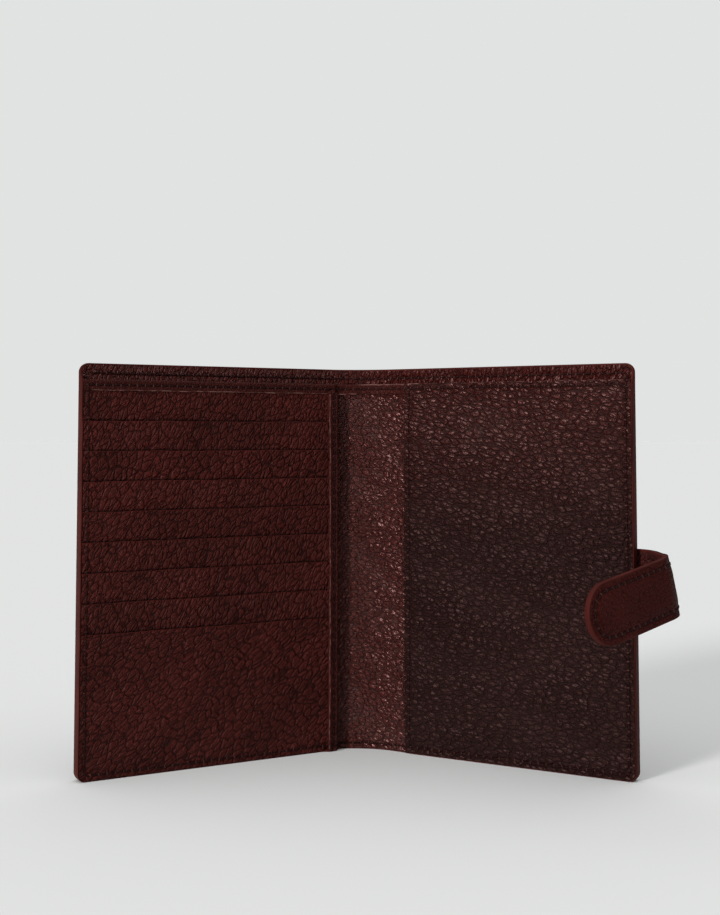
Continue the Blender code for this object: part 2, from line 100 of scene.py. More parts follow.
BAND_TOP = HEIGHT - 5.5 * MM
BAND_HEIGHT = 4.0 * MM
BAND_BOTTOM = BAND_TOP - BAND_HEIGHT
CARD_EDGE = -(HALF_SPINE + 2.7 * MM)  # the card panel's free edge, beside the spine
CARD_STRIP = 4.3 * MM
POCKET_EDGE = HALF_SPINE + 14.2 * MM
FIRST_MOUTH, LAST_MOUTH = 125.6 * MM, 50.6 * MM
SLOTS = 7
SLOT_PITCH = (FIRST_MOUTH - LAST_MOUTH) / SLOTS

SEAM_INSET = 2.2 * MM
TOP_SEAM_INSET = 3.3 * MM
BAND_SEAM = BAND_TOP - 2.0 * MM
STITCH_PITCH = 3.0 * MM
THREAD_RADIUS = 0.25 * MM
PAINT_REACH = 0.35 * MM  # how far the painted edge laps over each layer's cut edge
print(f"cover {COVER_WIDTH / MM:.0f} x {HEIGHT / MM:.0f} mm, spine {2 * HALF_SPINE / MM:.0f} mm")

# %% [markdown]
# ## From the flat pattern to the open holder
# Leather doesn't crease sharply at a fold: it bends round in an arc. So an arc joins the spine to each
# cover, tangent to both: a wide one on the pocket side, where the leather is one soft layer, and a
# tight one beside the stiff card panel. One function takes places on the pattern to points in space,
# for whole arrays at once, so every layer bends the same way and stays parallel to its neighbours.

# %% Wallet places
BACK_REACH, FRONT_REACH = 7.0 * MM, 3.5 * MM  # from a fold line to either end of its arc
ZONE_REACH = 4.6 * MM  # from a fold line to either end of the zone that fold_zone gives


def wallet(across, up, depth):
    """Points in space of places on the flat pattern."""
    places = [np.asarray(part, float) for part in (across, up, depth)]
    across, up, depth = np.broadcast_arrays(*places)
    side = np.where(across >= 0, 1.0, -1.0)
    angle = np.where(across >= 0, BACK_ANGLE, FRONT_ANGLE)
    reach = np.where(across >= 0, BACK_REACH, FRONT_REACH)
    radius = reach / np.tan(angle / 2)
    run = np.abs(across)
    flat = np.minimum(run, HALF_SPINE - reach)
    turned = np.clip((run - flat) / (2 * reach), 0, 1) * angle
    straight = np.maximum(run - HALF_SPINE - reach, 0)
    x = flat + (radius - depth) * np.sin(turned) + straight * np.cos(turned)
    y = (radius - depth) * np.cos(turned) - straight * np.sin(turned) - radius
    return np.stack([SPINE_MIDDLE.x + side * x, SPINE_MIDDLE.y + y, up], axis=-1)


def fold_zone(side):
    """Two points a zone's reach either side of a fold line, on the spine and on the cover, at half
    height.
    """
    ends = (HALF_SPINE - ZONE_REACH, HALF_SPINE + ZONE_REACH)
    return [Vector(wallet(side * end, HEIGHT / 2, 0)) for end in ends]


print("fore edges at x =", [round(float(wallet(s * FORE_EDGE, 0, 0)[0]), 4) for s in (-1, 1)])

# %% [markdown]
# ## The strap's own pattern
# The strap has a pattern of its own: along it from its first bend, across its width, and deep
# towards its lining. It leaves the cover straight, turns a rounded corner, twists a little because
# leather never lies quite true, turns a second corner and ends in a half-round tip.

# %% Strap places
STRAP_HALF_WIDTH = 10 * MM
STRAP_START = -36 * MM
STRAP_TIP = 45 * MM  # beyond the second bend
ROOT_BEND_RADIUS, TIP_BEND_RADIUS = 10 * MM, 8.5 * MM
LINING_BACK, LINING_FRONT = 0.05 * MM, 0.9 * MM
STRAP_OUTSIDE = -1.4 * MM
FIRST_BEND = Vector(joints["strap_root_bend"]["pos_m"])
SECOND_BEND = Vector(joints["strap_tip_bend"]["pos_m"])
SPAN = (SECOND_BEND - FIRST_BEND).length
STRAP_END = SPAN + STRAP_TIP
BEND_ANGLE = math.radians(-joints["strap_root_bend"]["range_deg"][0])
TIP_BEND_ANGLE = math.radians(-joints["strap_tip_bend"]["range_deg"][0])
TWIST_ANGLE = math.radians(joints["strap_twist"]["range_deg"][1])
ROOT_ALONG = Vector((math.cos(BACK_ANGLE), -math.sin(BACK_ANGLE), 0))


def smooth_step(value):
    value = np.clip(value, 0, 1)
    return value * value * (3 - 2 * value)


def strap_frame(along):
    """Middle point, direction, outward and upward unit vectors of the strap at one place along it."""
    up = Vector((0, 0, 1))
    axis = joints["strap_root_bend"]["axis"]
    tangent = ROOT_BEND_RADIUS * math.tan(BEND_ANGLE / 2)
    tip_tangent = TIP_BEND_RADIUS * math.tan(TIP_BEND_ANGLE / 2)
    heading = Matrix.Rotation(BEND_ANGLE, 3, axis) @ ROOT_ALONG
    if along <= tangent:
        share = min(max((along + tangent) / (2 * tangent), 0), 1)
        turn = Matrix.Rotation(BEND_ANGLE * share, 3, axis)
        point = FIRST_BEND + ROOT_ALONG * min(along, -tangent)
        chord = Matrix.Rotation(BEND_ANGLE * share / 2, 3, axis) @ ROOT_ALONG
        point += chord * 2 * ROOT_BEND_RADIUS * math.sin(BEND_ANGLE * share / 2)
        direction = turn @ ROOT_ALONG
    elif along <= SPAN - tip_tangent:
        point = FIRST_BEND + heading * along
        share = float(smooth_step((along - SPAN / 4) / (SPAN / 2)))
        up = Matrix.Rotation(TWIST_ANGLE * share, 3, heading) @ up
        direction = heading
    else:
        axis = Vector(joints["strap_tip_bend"]["axis"])
        share = min((along - SPAN + tip_tangent) / (2 * tip_tangent), 1)
        point = SECOND_BEND - heading * tip_tangent
        chord = Matrix.Rotation(TIP_BEND_ANGLE * share / 2, 3, axis) @ heading
        point += chord * 2 * TIP_BEND_RADIUS * math.sin(TIP_BEND_ANGLE * share / 2)
        direction = Matrix.Rotation(TIP_BEND_ANGLE * share, 3, axis) @ heading
        point += direction * max(along - SPAN - tip_tangent, 0)
        up = -axis
    return point, direction, up.cross(direction).normalized(), up


def strap(along, across, depth):
    """Points in space of places on the strap's pattern. Depth is towards the lining."""
    places = [np.asarray(part, float) for part in (along, across, depth)]
    along, across, depth = np.broadcast_arrays(*places)
    frames = {value: strap_frame(value) for value in np.unique(along)}
    points = np.empty(along.shape + (3,))
    for index, value in np.ndenumerate(along):
        point, _, outward, up = frames[value]
        points[index] = point + up * across[index] - outward * depth[index]
    return points


print("strap tip at", [round(float(part), 4) for part in strap(STRAP_END, 0, 0)])
tip_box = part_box("strap_tip_outer")
print("CAD tip box", [tuple(round(part, 4) for part in corner) for corner in tip_box])

# %% [markdown]
# ## Shader maths
# The finishes are node trees written as Python expressions. A wire is a socket that can be added,
# multiplied and compared, and each operation adds its Math node. A finish's tree makes every other
# kind of node from its type, its settings and the values or wires of its sockets.

# %% Wires and finishes
class Wire:
    """A socket of a finish's tree, which works in sums."""

    def __init__(self, tree, socket):
        self.tree, self.socket = tree, socket

    def maths(self, operation, *values):
        return self.tree.node("ShaderNodeMath", {"operation": operation}, **dict(zip("abc", values)))

    def __add__(self, other):
        return self.maths("ADD", self, other)

    def __sub__(self, other):
        return self.maths("SUBTRACT", self, other)

    def __rsub__(self, other):
        return self.maths("SUBTRACT", other, self)

    def __mul__(self, other):
        return self.maths("MULTIPLY", self, other)

    __radd__, __rmul__ = __add__, __mul__

    def ramp(self, low, high, start=0.0, end=1.0):
        """Smoothly from start to end as this goes from low to high."""
        settings = {"interpolation_type": "SMOOTHSTEP"}
        return self.tree.node(
            "ShaderNodeMapRange", settings,
            Value=self, From_Min=low, From_Max=high, To_Min=start, To_Max=end,
        )


class Finish:
    """A material whose tree is written in expressions."""

    def __init__(self, name, **constants):
        self.material = bpy.data.materials.new(name)
        self.material.use_nodes = True
        self.nodes, self.links = self.material.node_tree.nodes, self.material.node_tree.links
        self.shader = self.nodes["Principled BSDF"]
        for label, value in constants.items():
            self.shader.inputs[label.replace("_", " ")].default_value = value

    def node(self, kind, settings=None, output=0, **sockets):
        """Any node. A socket's label is written with underscores, and a, b, c mean the first three."""
        made = self.nodes.new(kind)
        for label, value in (settings or {}).items():
            setattr(made, label, value)
        for label, value in sockets.items():
            socket = made.inputs["abc".index(label) if label in "abc" else label.replace("_", " ")]
            if isinstance(value, Wire):
                self.links.new(value.socket, socket)
            else:
                socket.default_value = value
        return Wire(self, made.outputs[output])

    def attribute(self, name, output="Vector"):
        return self.node("ShaderNodeAttribute", {"attribute_name": name}, output)

    def mix(self, share, first, second):
        """A colour between two colours."""
        made = self.nodes.new("ShaderNodeMix")
        made.data_type = "RGBA"
        for index, value in ((0, share), (6, first), (7, second)):
            if isinstance(value, Wire):
                self.links.new(value.socket, made.inputs[index])
            else:
                made.inputs[index].default_value = (*value, 1) if isinstance(value, tuple) else value
        return Wire(self, made.outputs[2])

    def noise(self, place, scale, detail=2.0, roughness=0.5, output="Fac"):
        return self.node(
            "ShaderNodeTexNoise", None, output,
            Vector=place, Scale=scale, Detail=detail, Roughness=roughness,
        )

    def cells(self, place, scale, feature="DISTANCE_TO_EDGE"):
        return self.node(
            "ShaderNodeTexVoronoi", {"feature": feature}, "Distance", Vector=place, Scale=scale
        )

    def shifted(self, place, amount, scale, detail=1.0):
        """A place moved about by noise, so that a regular pattern goes astray."""
        drift = self.node(
            "ShaderNodeVectorMath", {"operation": "SUBTRACT"},
            a=self.noise(place, scale, detail, output="Color"), b=(0.5, 0.5, 0.5),
        )
        step = self.node("ShaderNodeVectorMath", {"operation": "SCALE"}, a=drift, Scale=amount)
        return self.node("ShaderNodeVectorMath", {"operation": "ADD"}, a=place, b=step)

    def stretched(self, place, factors):
        return self.node("ShaderNodeVectorMath", {"operation": "MULTIPLY"}, a=place, b=factors)

    def feed(self, **sockets):
        for label, wire in sockets.items():
            self.links.new(wire.socket, self.shader.inputs[label.replace("_", " ")])
        return self.material

    def bump(self, height, distance):
        return self.node("ShaderNodeBump", Height=height, Distance=distance, Strength=1.0)


print("shader tools ready")

# %% [markdown]
# ## The leather's grain
# The hide is pebbled: small domes of about a millimetre and a half, parted by creases that lean
# the same way because the skin stretched that way. Voronoi cells give the domes, their borders give
# the creases, and slow noise makes the grain fade in some places and stand out in others. Each
# piece was cut from its own part of the hide, so a piece carries the place of each of its points on
# the hide in an attribute, in millimetres, already turned and stretched for that piece.

# %% Leather finishes
SHEEN_TINT = (1.0, 0.60, 0.55, 1.0)


def leather(name, colour, relief, roughness=0.45, pebble=0.62, lift=1.9, shine=0.16):
    """Grained leather: colour in linear RGB, relief in metres, pebble in cells for a millimetre."""
    finish = Finish(name, Specular_IOR_Level=shine, Specular_Tint=SHEEN_TINT)
    hide = finish.attribute("hide")
    # A piece's mask of painted shade, read from its points.
    dirt = finish.attribute("dirt", "Fac")
    astray = finish.shifted(hide, 1.1, 0.42)
    crease = finish.cells(astray, pebble)
    dome = finish.cells(astray, pebble, "F1")
    small = finish.cells(finish.shifted(hide, 0.6, 1.1), pebble * 1.9)
    slow = finish.noise(hide, 0.060, 2.0)
    fine = finish.noise(hide, 4.5, 3.0)
    strength = slow.ramp(0.32, 0.68, 0.50, 1.2)
    groove = crease.ramp(0.0, 0.17)
    small_groove = small.ramp(0.0, 0.14)
    height = (groove * 0.60 + (1 - dome * dome) * 0.42 + small_groove * 0.26) * strength + fine * 0.06
    normal = finish.bump(height, relief)
    # Painted shade: the dark tone fills the grain's creases.
    dark = tuple(part * 0.30 for part in colour)
    light = tuple(min(part * lift, 1) for part in colour)
    # Painted highlight: the light tone runs along the rim of each crease, and it also lightens slow
    # random patches.
    rim = groove * (1 - crease.ramp(0.16, 0.34)) * strength
    shade = finish.mix(groove * 0.75 + small_groove * 0.25, dark, colour)
    shade = finish.mix(rim * 0.55, shade, light)
    shade = finish.mix(slow.ramp(0.35, 0.75, 0.0, 0.30), shade, light)
    # Painted shade: where a piece marks shade, the colour sinks to a tenth of itself and the surface
    # grows rougher.
    shade = finish.mix(dirt, shade, tuple(part * 0.10 for part in colour))
    gloss = roughness + (1 - groove) * 0.18 + (fine - 0.5) * 0.12 - (slow - 0.5) * 0.12 + dirt * 0.3
    return finish.feed(Base_Color=shade, Roughness=gloss, Normal=normal)


# Painted light and shade: the inside is one hide, but each part has its own colour, lighter on the spine
# and the facing strip and darker on the passport pocket, which the lamp lights most.
SHELL_LEATHER = leather("outer_grain_leather", (0.030, 0.0050, 0.0040), 0.00080, pebble=0.50)
POUCH_LEATHER = leather("pouch_grain_leather", (0.0330, 0.0058, 0.0048), 0.00140, 0.25, 0.50, shine=0.27)
FACING_LEATHER = leather("facing_grain_leather", (0.042, 0.0066, 0.0054), 0.00140, 0.32, 0.54, shine=0.24)
SPINE_LEATHER = leather("spine_grain_leather", (0.048, 0.0088, 0.0074), 0.00170, 0.27, 0.50, shine=0.60)
PANEL_LEATHER = leather("pocket_grain_leather", (0.036, 0.0054, 0.0042), 0.00125, 0.42, 0.52, 2.7, 0.12)
FOLDED_LEATHER = leather("folded_edge_leather", (0.034, 0.0056, 0.0044), 0.00040, 0.44, 0.75, shine=0.14)
STRAP_LEATHER = leather("strap_outer_leather", (0.036, 0.0048, 0.0038), 0.00022, 0.50, 0.8, 1.6, 0.07)
LINING_LEATHER = leather("strap_lining_leather", (0.034, 0.0062, 0.0052), 0.00080, 0.40, 0.6, shine=0.26)


def painted_edge():
    """Layers of edge paint, rubbed smooth: redder than the leather, a little worn where it's handled."""
    finish = Finish("painted_edge", Specular_IOR_Level=0.06, Specular_Tint=SHEEN_TINT)
    place = finish.node("ShaderNodeTexCoord", output="Object")
    slow = finish.noise(place, 60.0, 2.0)
    fine = finish.noise(finish.stretched(place, (1.0, 1.0, 0.35)), 1400.0, 2.0)
    shade = finish.mix(slow.ramp(0.3, 0.7), (0.038, 0.0066, 0.0052), (0.056, 0.0105, 0.0082))
    return finish.feed(
        Base_Color=shade, Roughness=0.60 + (slow - 0.5) * 0.2, Normal=finish.bump(fine, 0.00006)
    )


def rubbed_edge(name, low, high, roughness):
    """Where folds and puckers stand up, the colour is lighter and greyer, mottled at random: a painted
    highlight.
    """
    finish = Finish(name, Specular_IOR_Level=0.2, Specular_Tint=SHEEN_TINT)
    place = finish.node("ShaderNodeTexCoord", output="Object")
    worn = finish.noise(place, 420.0, 3.0, 0.6)
    fine = finish.noise(place, 1900.0, 2.0)
    shade = finish.mix(worn.ramp(0.38, 0.62), low, high)
    return finish.feed(
        Base_Color=shade, Roughness=roughness + (worn - 0.5) * 0.3, Normal=finish.bump(fine, 0.0001)
    )


def waxed_thread():
    finish = Finish("waxed_thread", Specular_IOR_Level=0.14, Specular_Tint=SHEEN_TINT)
    place = finish.node("ShaderNodeTexCoord", output="Object")
    fibre = finish.noise(place, 5200.0, 2.0)
    shade = finish.mix(fibre.ramp(0.3, 0.7), (0.0045, 0.0012, 0.0011), (0.013, 0.0032, 0.0028))
    return finish.feed(
        Base_Color=shade, Roughness=0.55 + (fibre - 0.5) * 0.2, Normal=finish.bump(fibre, 0.00012)
    )


def snap_brass():
    """The press stud's antique finish: darker tarnish and brighter metal in patches that wander at
    random.
    """
    finish = Finish("antique_snap_metal", Metallic=1.0)
    place = finish.node("ShaderNodeTexCoord", output="Object")
    tarnish = finish.noise(place, 320.0, 4.0, 0.6)
    scratch = finish.noise(finish.stretched(place, (1.0, 0.15, 1.0)), 2600.0, 2.0)
    shade = finish.mix(tarnish.ramp(0.35, 0.65), (0.19, 0.145, 0.10), (0.42, 0.35, 0.26))
    return finish.feed(
        Base_Color=shade, Roughness=0.26 + tarnish * 0.22, Normal=finish.bump(scratch, 0.00004)
    )


def grey_board():
    finish = Finish("stiffener_board", Specular_IOR_Level=0.2)
    place = finish.node("ShaderNodeTexCoord", output="Object")
    fibre = finish.noise(place, 900.0, 4.0, 0.7)
    shade = finish.mix(fibre, (0.24, 0.20, 0.155), (0.38, 0.325, 0.26))
    return finish.feed(
        Base_Color=shade, Roughness=0.8 + fibre * 0.15, Normal=finish.bump(fibre, 0.0001)
    )


EDGE_PAINT = painted_edge()
# Painted highlights for the fold lines and for the puckers between stitches.
FOLD_LINE = rubbed_edge("fold_highlight", (0.045, 0.012, 0.010), (0.150, 0.068, 0.060), 0.38)
PUCKER = rubbed_edge("pucker_highlight", (0.010, 0.0020, 0.0017), (0.036, 0.0115, 0.0098), 0.42)
THREAD = waxed_thread()
SNAP_METAL = snap_brass()
BOARD = grey_board()
print("finishes:", EDGE_PAINT.name, THREAD.name, SNAP_METAL.name, BOARD.name, "and eight leathers")

# %% [markdown]
# ## Sheets of leather
# Nearly every piece is a sheet: a grid of places on the flat pattern with a face on each side and a
# wall round its border. The grid is close where a seam pulls the leather down or an edge is rounded,
# and wide elsewhere. Both faces come from depths, so a sheet always has its true thickness.

# %% Grids, sheets and their place on the hide
def graded(low, high, step, *fine):
    """Places from low to high about a step apart, and closer round each (middle, reach, step)."""
    places = np.linspace(low, high, max(2, round((high - low) / step) + 1))
    for middle, reach, close in fine:
        start, end = max(low, middle - reach), min(high, middle + reach)
        if end > start:
            kept = places[(places <= start + 1e-9) | (places >= end - 1e-9)]
            added = np.linspace(start, end, max(2, round((end - start) / close) + 1))
            places = np.concatenate([kept, added])
    places = np.unique(np.round(places, 6))
    return places[np.concatenate([[True], np.diff(places) > 0.04 * MM])]


def bell(value, width):
    return np.exp(-((value / width) ** 2))


def waver(along, length, seed):
    """A slow wandering between about -1 and 1, from three waves of unlike lengths."""
    chance = np.random.default_rng(seed)
    total = 0
    for share, factor in ((0.55, 1.0), (0.3, 0.43), (0.2, 0.19)):
        total = total + share * np.sin(2 * math.pi * (along / (length * factor) + chance.random()))
    return total


CUT_STEP = (37.0, 23.0)  # millimetres on the hide from one cut piece to the next
BOW_REACH = (-7 * MM, 2 * MM)  # how far from its middle a bow still bends the grain


def on_hide(across, up, depth, lean=0.0, draw=(1.0, 1.0), cut=0, bow=None):
    """Where a piece's points lay on the hide, in millimetres: bowed, turned by lean, drawn out, and
    moved to the part of the hide that this piece was cut from."""
    if bow:
        middle, radius = bow
        reach = np.clip(across - middle, *BOW_REACH)
        up = up + (reach ** 2 / 2 + reach * (across - middle - reach)) / radius
    turn = math.radians(lean)
    along = (across * math.cos(turn) + up * math.sin(turn)) * draw[0]
    over = (up * math.cos(turn) - across * math.sin(turn)) * draw[1]
    return np.stack([along / MM + CUT_STEP[0] * cut, over / MM + CUT_STEP[1] * cut, depth / MM], axis=-1)


def make_piece(name, points, faces, finish, hide=None, dirt=None, sharp=42):
    mesh = bpy.data.meshes.new(name)
    mesh.from_pydata([tuple(point) for point in points], [], [tuple(face) for face in faces])
    if hide is not None:
        attribute = mesh.attributes.new("hide", "FLOAT_VECTOR", "POINT")
        attribute.data.foreach_set("vector", np.asarray(hide, np.float32).ravel())
    # Each point's share of painted shade.
    if dirt is not None:
        attribute = mesh.attributes.new("dirt", "FLOAT", "POINT")
        attribute.data.foreach_set("value", np.asarray(dirt, np.float32).ravel())
    mesh.materials.append(finish)
    mesh.shade_smooth()
    mesh.set_sharp_from_angle(angle=math.radians(sharp))
    mesh.validate()
    piece = bpy.data.objects.new(name, mesh)
    bpy.context.scene.collection.objects.link(piece)
    return piece


def sheet(name, where, across, up, back, front, finish, dirt=0.0, **hide):
    """A closed sheet over a grid of places, between two arrays of depths. The lists of places give
    an even grid, and arrays as large as the grid give one that follows an outline."""
    if np.ndim(across) == 1:
        across, up = np.meshgrid(across, up)
    back, front = (np.broadcast_to(depth, across.shape) for depth in (back, front))
    rows, columns = across.shape
    count = rows * columns
    index = np.arange(count).reshape(rows, columns)
    quads = np.stack([index[:-1, :-1], index[:-1, 1:], index[1:, 1:], index[1:, :-1]], -1)
    quads = quads.reshape(-1, 4)
    rim = np.concatenate([index[0, :-1], index[:-1, -1], index[-1, :0:-1], index[:0:-1, 0]])
    after = np.roll(rim, -1)
    walls = np.stack([after, rim, rim + count, after + count], -1)
    faces = np.concatenate([quads, quads[:, ::-1] + count, walls])
    depths = (front, back)
    points = np.concatenate([where(across, up, depth).reshape(-1, 3) for depth in depths])
    places = np.concatenate([on_hide(across, up, depth, **hide).reshape(-1, 3) for depth in depths])
    dirt = np.tile(np.broadcast_to(dirt, across.shape).ravel(), 2)
    return make_piece(name, points, faces, finish, places, dirt)


def rounded(distance, radius):
    """How far a face falls back near an edge, at a distance from it, when the edge is rounded."""
    reach = np.clip(distance, 0, radius)
    return radius - np.sqrt(radius ** 2 - (radius - reach) ** 2)


def inset(across, up):
    """How far a place lies inside a cover's outline, with its rounded fore-edge corners."""
    side = FORE_EDGE - np.abs(across)
    level = np.minimum(up, HEIGHT - up)
    corner = (side < CORNER_RADIUS) & (level < CORNER_RADIUS)
    within = CORNER_RADIUS - np.hypot(CORNER_RADIUS - side, CORNER_RADIUS - level)
    return np.where(corner, within, np.minimum(side, level))


CORNER_ZONE = 9 * MM  # how far in from the fore edge a grid starts to follow the corners


def cover_grid(side, places, levels, high_corner=True):
    """A grid over one cover whose last columns follow the rounded corners, just short of the outline."""
    run, up = np.meshgrid(np.sort(np.abs(places)), levels)
    level = np.minimum(CORNER_RADIUS, np.maximum(up, 0))
    if high_corner:
        level = np.minimum(level, np.maximum(HEIGHT - up, 0))
    radius = CORNER_RADIUS - PAINT_REACH
    over = np.clip(CORNER_RADIUS - level, 0, radius)
    pulled = radius - np.sqrt(radius ** 2 - over ** 2)
    start = FORE_EDGE - PAINT_REACH - CORNER_ZONE
    run = run - np.clip((run - start) / CORNER_ZONE, 0, 1) * pulled
    across = side * run
    if side < 0:
        across, up = across[:, ::-1], up[:, ::-1]
    return across, up


FORE_SEAM = FORE_EDGE - SEAM_INSET
CORNER_LEVELS = [level * MM for level in (0.35, 0.5, 0.8, 1.2, 1.7, 2.2, 2.7, 3.3, 4.0)]


def seam_pull(across, up):
    """How far the stitches pull the leather down, near the wallet's outer seam."""
    at_top = (up > HEIGHT / 2) & (np.abs(across) < FORE_SEAM - 2 * MM)
    from_top = np.abs(HEIGHT - TOP_SEAM_INSET - up)
    distance = np.where(at_top, from_top, inset(across, up) - SEAM_INSET)
    return 0.30 * MM * bell(distance, 0.75 * MM)


print("a cover's grid follows corners of", CORNER_RADIUS / MM, "mm")

# %% [markdown]
# ## Outer leather and inner facing
# The outer leather is one piece of hide on the real holder, from fore edge to fore edge. Here it is
# cut at the middle of the spine, because a piece can bend across one joint only, and the two halves
# meet edge to edge there. The facing lines the inside and shows as a strip above the banknote
# divider. The outer seam goes through both, so both are pulled down along it.

# %% Outer leather and facing
def cover_levels(step=1.3 * MM):
    """Places up a cover: close at the seams near its lower and upper edges."""
    high = [HEIGHT - level for level in CORNER_LEVELS]
    middle = graded(CORNER_LEVELS[-1], HEIGHT - CORNER_LEVELS[-1], step)
    return np.unique(np.round(np.concatenate([CORNER_LEVELS, middle, high]), 6))


def lower_levels(*graded_levels):
    """Places up a piece that follows a cover's lower corner only."""
    return np.unique(np.round(np.concatenate([CORNER_LEVELS, graded(4 * MM, *graded_levels)]), 6))


def cover_run(start, step, *fine):
    """Places along a cover from start to the painted edge: close at the fore-edge seam."""
    return graded(
        start, FORE_EDGE - PAINT_REACH, step, (FORE_SEAM, 2.0 * MM, 0.4 * MM),
        (FORE_EDGE, 1.0 * MM, 0.3 * MM), *fine,
    )


def soft(across, up, seed, amount, length=14 * MM):
    """The slight unevenness of leather that has been handled."""
    first = amount * waver(across + 0.3 * up, length, seed)
    return first * waver(up - 0.2 * across, length * 1.3, seed + 1)


CREASE = 10.5 * MM  # where the outer leather creases beside each fold
MIDDLE_JOIN = (0, 0.9 * MM, 0.3 * MM)  # the grids are close where the two halves meet
halves = {1: ("back", "back_cover"), -1: ("front", "front_cover")}


def half_sheet(name, side, grid, back, front, finish, **hide):
    """A sheet from the middle of the spine to a fore edge, which bends across that cover's fold."""
    piece = sheet(name, wallet, *grid, back, front, finish, **hide)
    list(fold_zone(side))
    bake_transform(piece)
    return piece


for side, (word, _) in halves.items():
    run = cover_run(0, 1.3 * MM, MIDDLE_JOIN, (CREASE, 1.6 * MM, 0.4 * MM))
    grid = cover_grid(side, run, cover_levels())
    away = np.abs(grid[0])
    pull = seam_pull(*grid)
    hollow = 0.22 * MM * bell(away - CREASE, 0.7 * MM)
    puff = soft(*grid, 11 + side, 0.10 * MM) + 0.10 * MM * smooth_step(inset(*grid) / (7 * MM))
    outside = OUTSIDE + 0.12 * MM - puff + pull + hollow
    outer = half_sheet(
        f"{word}_outer_leather", side, grid, outside, 0.0, SHELL_LEATHER, lean=12 * side, cut=0
    )
    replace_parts(outer, f"{word}_outer_shell", *(["spine_outer_shell"] if side > 0 else []))

    grid = cover_grid(side, cover_run(0, 1.6 * MM, MIDDLE_JOIN), cover_levels(step=2 * MM))
    front = FACING_FRONT - 1.1 * seam_pull(*grid) + soft(*grid, 21 + side, 0.06 * MM)
    facing = half_sheet(
        f"{word}_facing", side, grid, 0.2 * MM, front, FACING_LEATHER,
        lean=78, draw=(0.5, 1.1), cut=2,
    )
    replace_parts(facing, f"{word}_inner_facing", *(["spine_inner_facing"] if side > 0 else []))
    print(word, "cover:", len(outer.data.polygons), "faces of outer leather")

# %% [markdown]
# ## The banknote divider and its bound edge
# Behind the pockets a full-width sheet makes the banknote pocket, and it is the leather that shows
# over the spine. Its top edge is bound with a narrow folded strip, stitched along its middle. Over
# the card panel the strip rides a little higher, because the panel lies under it.

# %% Divider and binding
def band_depth(across):
    """The bound strip's front face: higher where it passes over the card panel."""
    return BAND_FRONT + 0.85 * MM * smooth_step((CARD_EDGE + 1.2 * MM - across) / (2.4 * MM))


def band_lower(across):
    """Height of the bound strip's lower edge, which wanders a little."""
    return BAND_BOTTOM + 0.10 * MM * waver(across, 31 * MM, 3)


for side, (word, _) in halves.items():
    levels = lower_levels(BAND_TOP - 0.5 * MM, 1.1 * MM)
    run = cover_run(0, 1.1 * MM, MIDDLE_JOIN, (-CARD_EDGE, 3.0 * MM, 0.3 * MM))
    grid = cover_grid(side, run, levels, high_corner=False)
    across, up = grid
    shown = smooth_step((20 * MM - np.abs(across)) / (4 * MM))
    ripple = waver(up + 0.35 * across, 4.3 * MM, 5) * bell(across - 1 * MM, 9 * MM)
    wrinkles = 0.16 * MM * shown * ripple
    furrow = 0.5 * MM * bell(across - CARD_EDGE - 0.2 * MM, 1.0 * MM)
    front = DIVIDER_FRONT + soft(across, up, 31, 0.12 * MM, 9 * MM) * shown + wrinkles - furrow
    front = front - seam_pull(across, up)
    # Painted shadow: the divider is darkened beside the card panel's free edge, where the slit behind the
    # panel lies in shade, and all along under the panel.
    divider = half_sheet(
        f"{word}_divider", side, grid, DIVIDER_BACK - furrow, front, SPINE_LEATHER,
        dirt=1 - smooth_step((across - CARD_EDGE - 1.2 * MM) / (0.7 * MM)),
        draw=(0.66, 1.15), cut=4, bow=(-2.5 * MM, 6 * MM),
    )
    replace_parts(divider, f"{word}_bill_divider", *(["spine_bill_divider"] if side > 0 else []))

    reach = POCKET_EDGE + 1.5 * MM if side > 0 else FORE_EDGE - PAINT_REACH
    run = graded(0, reach, 1.0 * MM, MIDDLE_JOIN, (-CARD_EDGE, 2.0 * MM, 0.3 * MM))
    share = np.concatenate([
        np.linspace(0, 0.12, 5), np.linspace(0.16, 0.84, 18), np.linspace(0.88, 1, 6),
    ])
    across, share = np.meshgrid(np.sort(side * run), share)
    lower = band_lower(across)
    up = lower + share * (BAND_TOP - lower)
    fallen = rounded(BAND_TOP - up, 0.75 * MM) + rounded(up - lower, 0.22 * MM)
    pulled = 0.24 * MM * bell(up - BAND_SEAM, 0.55 * MM) * (1 + 0.25 * waver(across, STITCH_PITCH, 8))
    middle = (BAND_BACK + BAND_FRONT) / 2
    front = np.maximum(band_depth(across) - fallen - pulled - 0.5 * seam_pull(across, up), middle)
    back = np.minimum(BAND_BACK + rounded(BAND_TOP - up, 0.7 * MM), middle - 0.02 * MM)
    band = half_sheet(
        f"{word}_divider_band", side, (across, up), back, front, FOLDED_LEATHER, lean=85, cut=6
    )
    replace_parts(band, f"{word}_divider_binding", *(["spine_divider_binding"] if side > 0 else []))
print("divider and its bound edge made")

# %% [markdown]
# ## The card panel
# Seven overlapping strips and one large panel make eight card pockets on the front cover. Each strip
# was skived thin, its mouth was turned and painted, and it lies over the strip above it, so a mouth
# throws a thin shadow, and a painted shadow darkens the strip just above each mouth. The whole panel
# is sewn down at the fore edge and the bottom, and its edge beside the spine stays free, because a
# slip pocket opens there: it stands off the divider a little.

# %% Card pockets
SLIP_LIFT = 0.6 * MM
SLOTS_NEAR = CARD_EDGE - CARD_STRIP + 0.7 * MM  # the strips end under the folded edge


def slip(across, up):
    """How far the card panel stands off the divider, beside the spine."""
    reach = np.clip((up - SEAM_INSET) / (BAND_BOTTOM - SEAM_INSET), 0, 1)
    held = np.sin(math.pi * reach) ** 0.35
    return SLIP_LIFT * held * np.exp(-((CARD_EDGE - across) / (13 * MM)) ** 2)


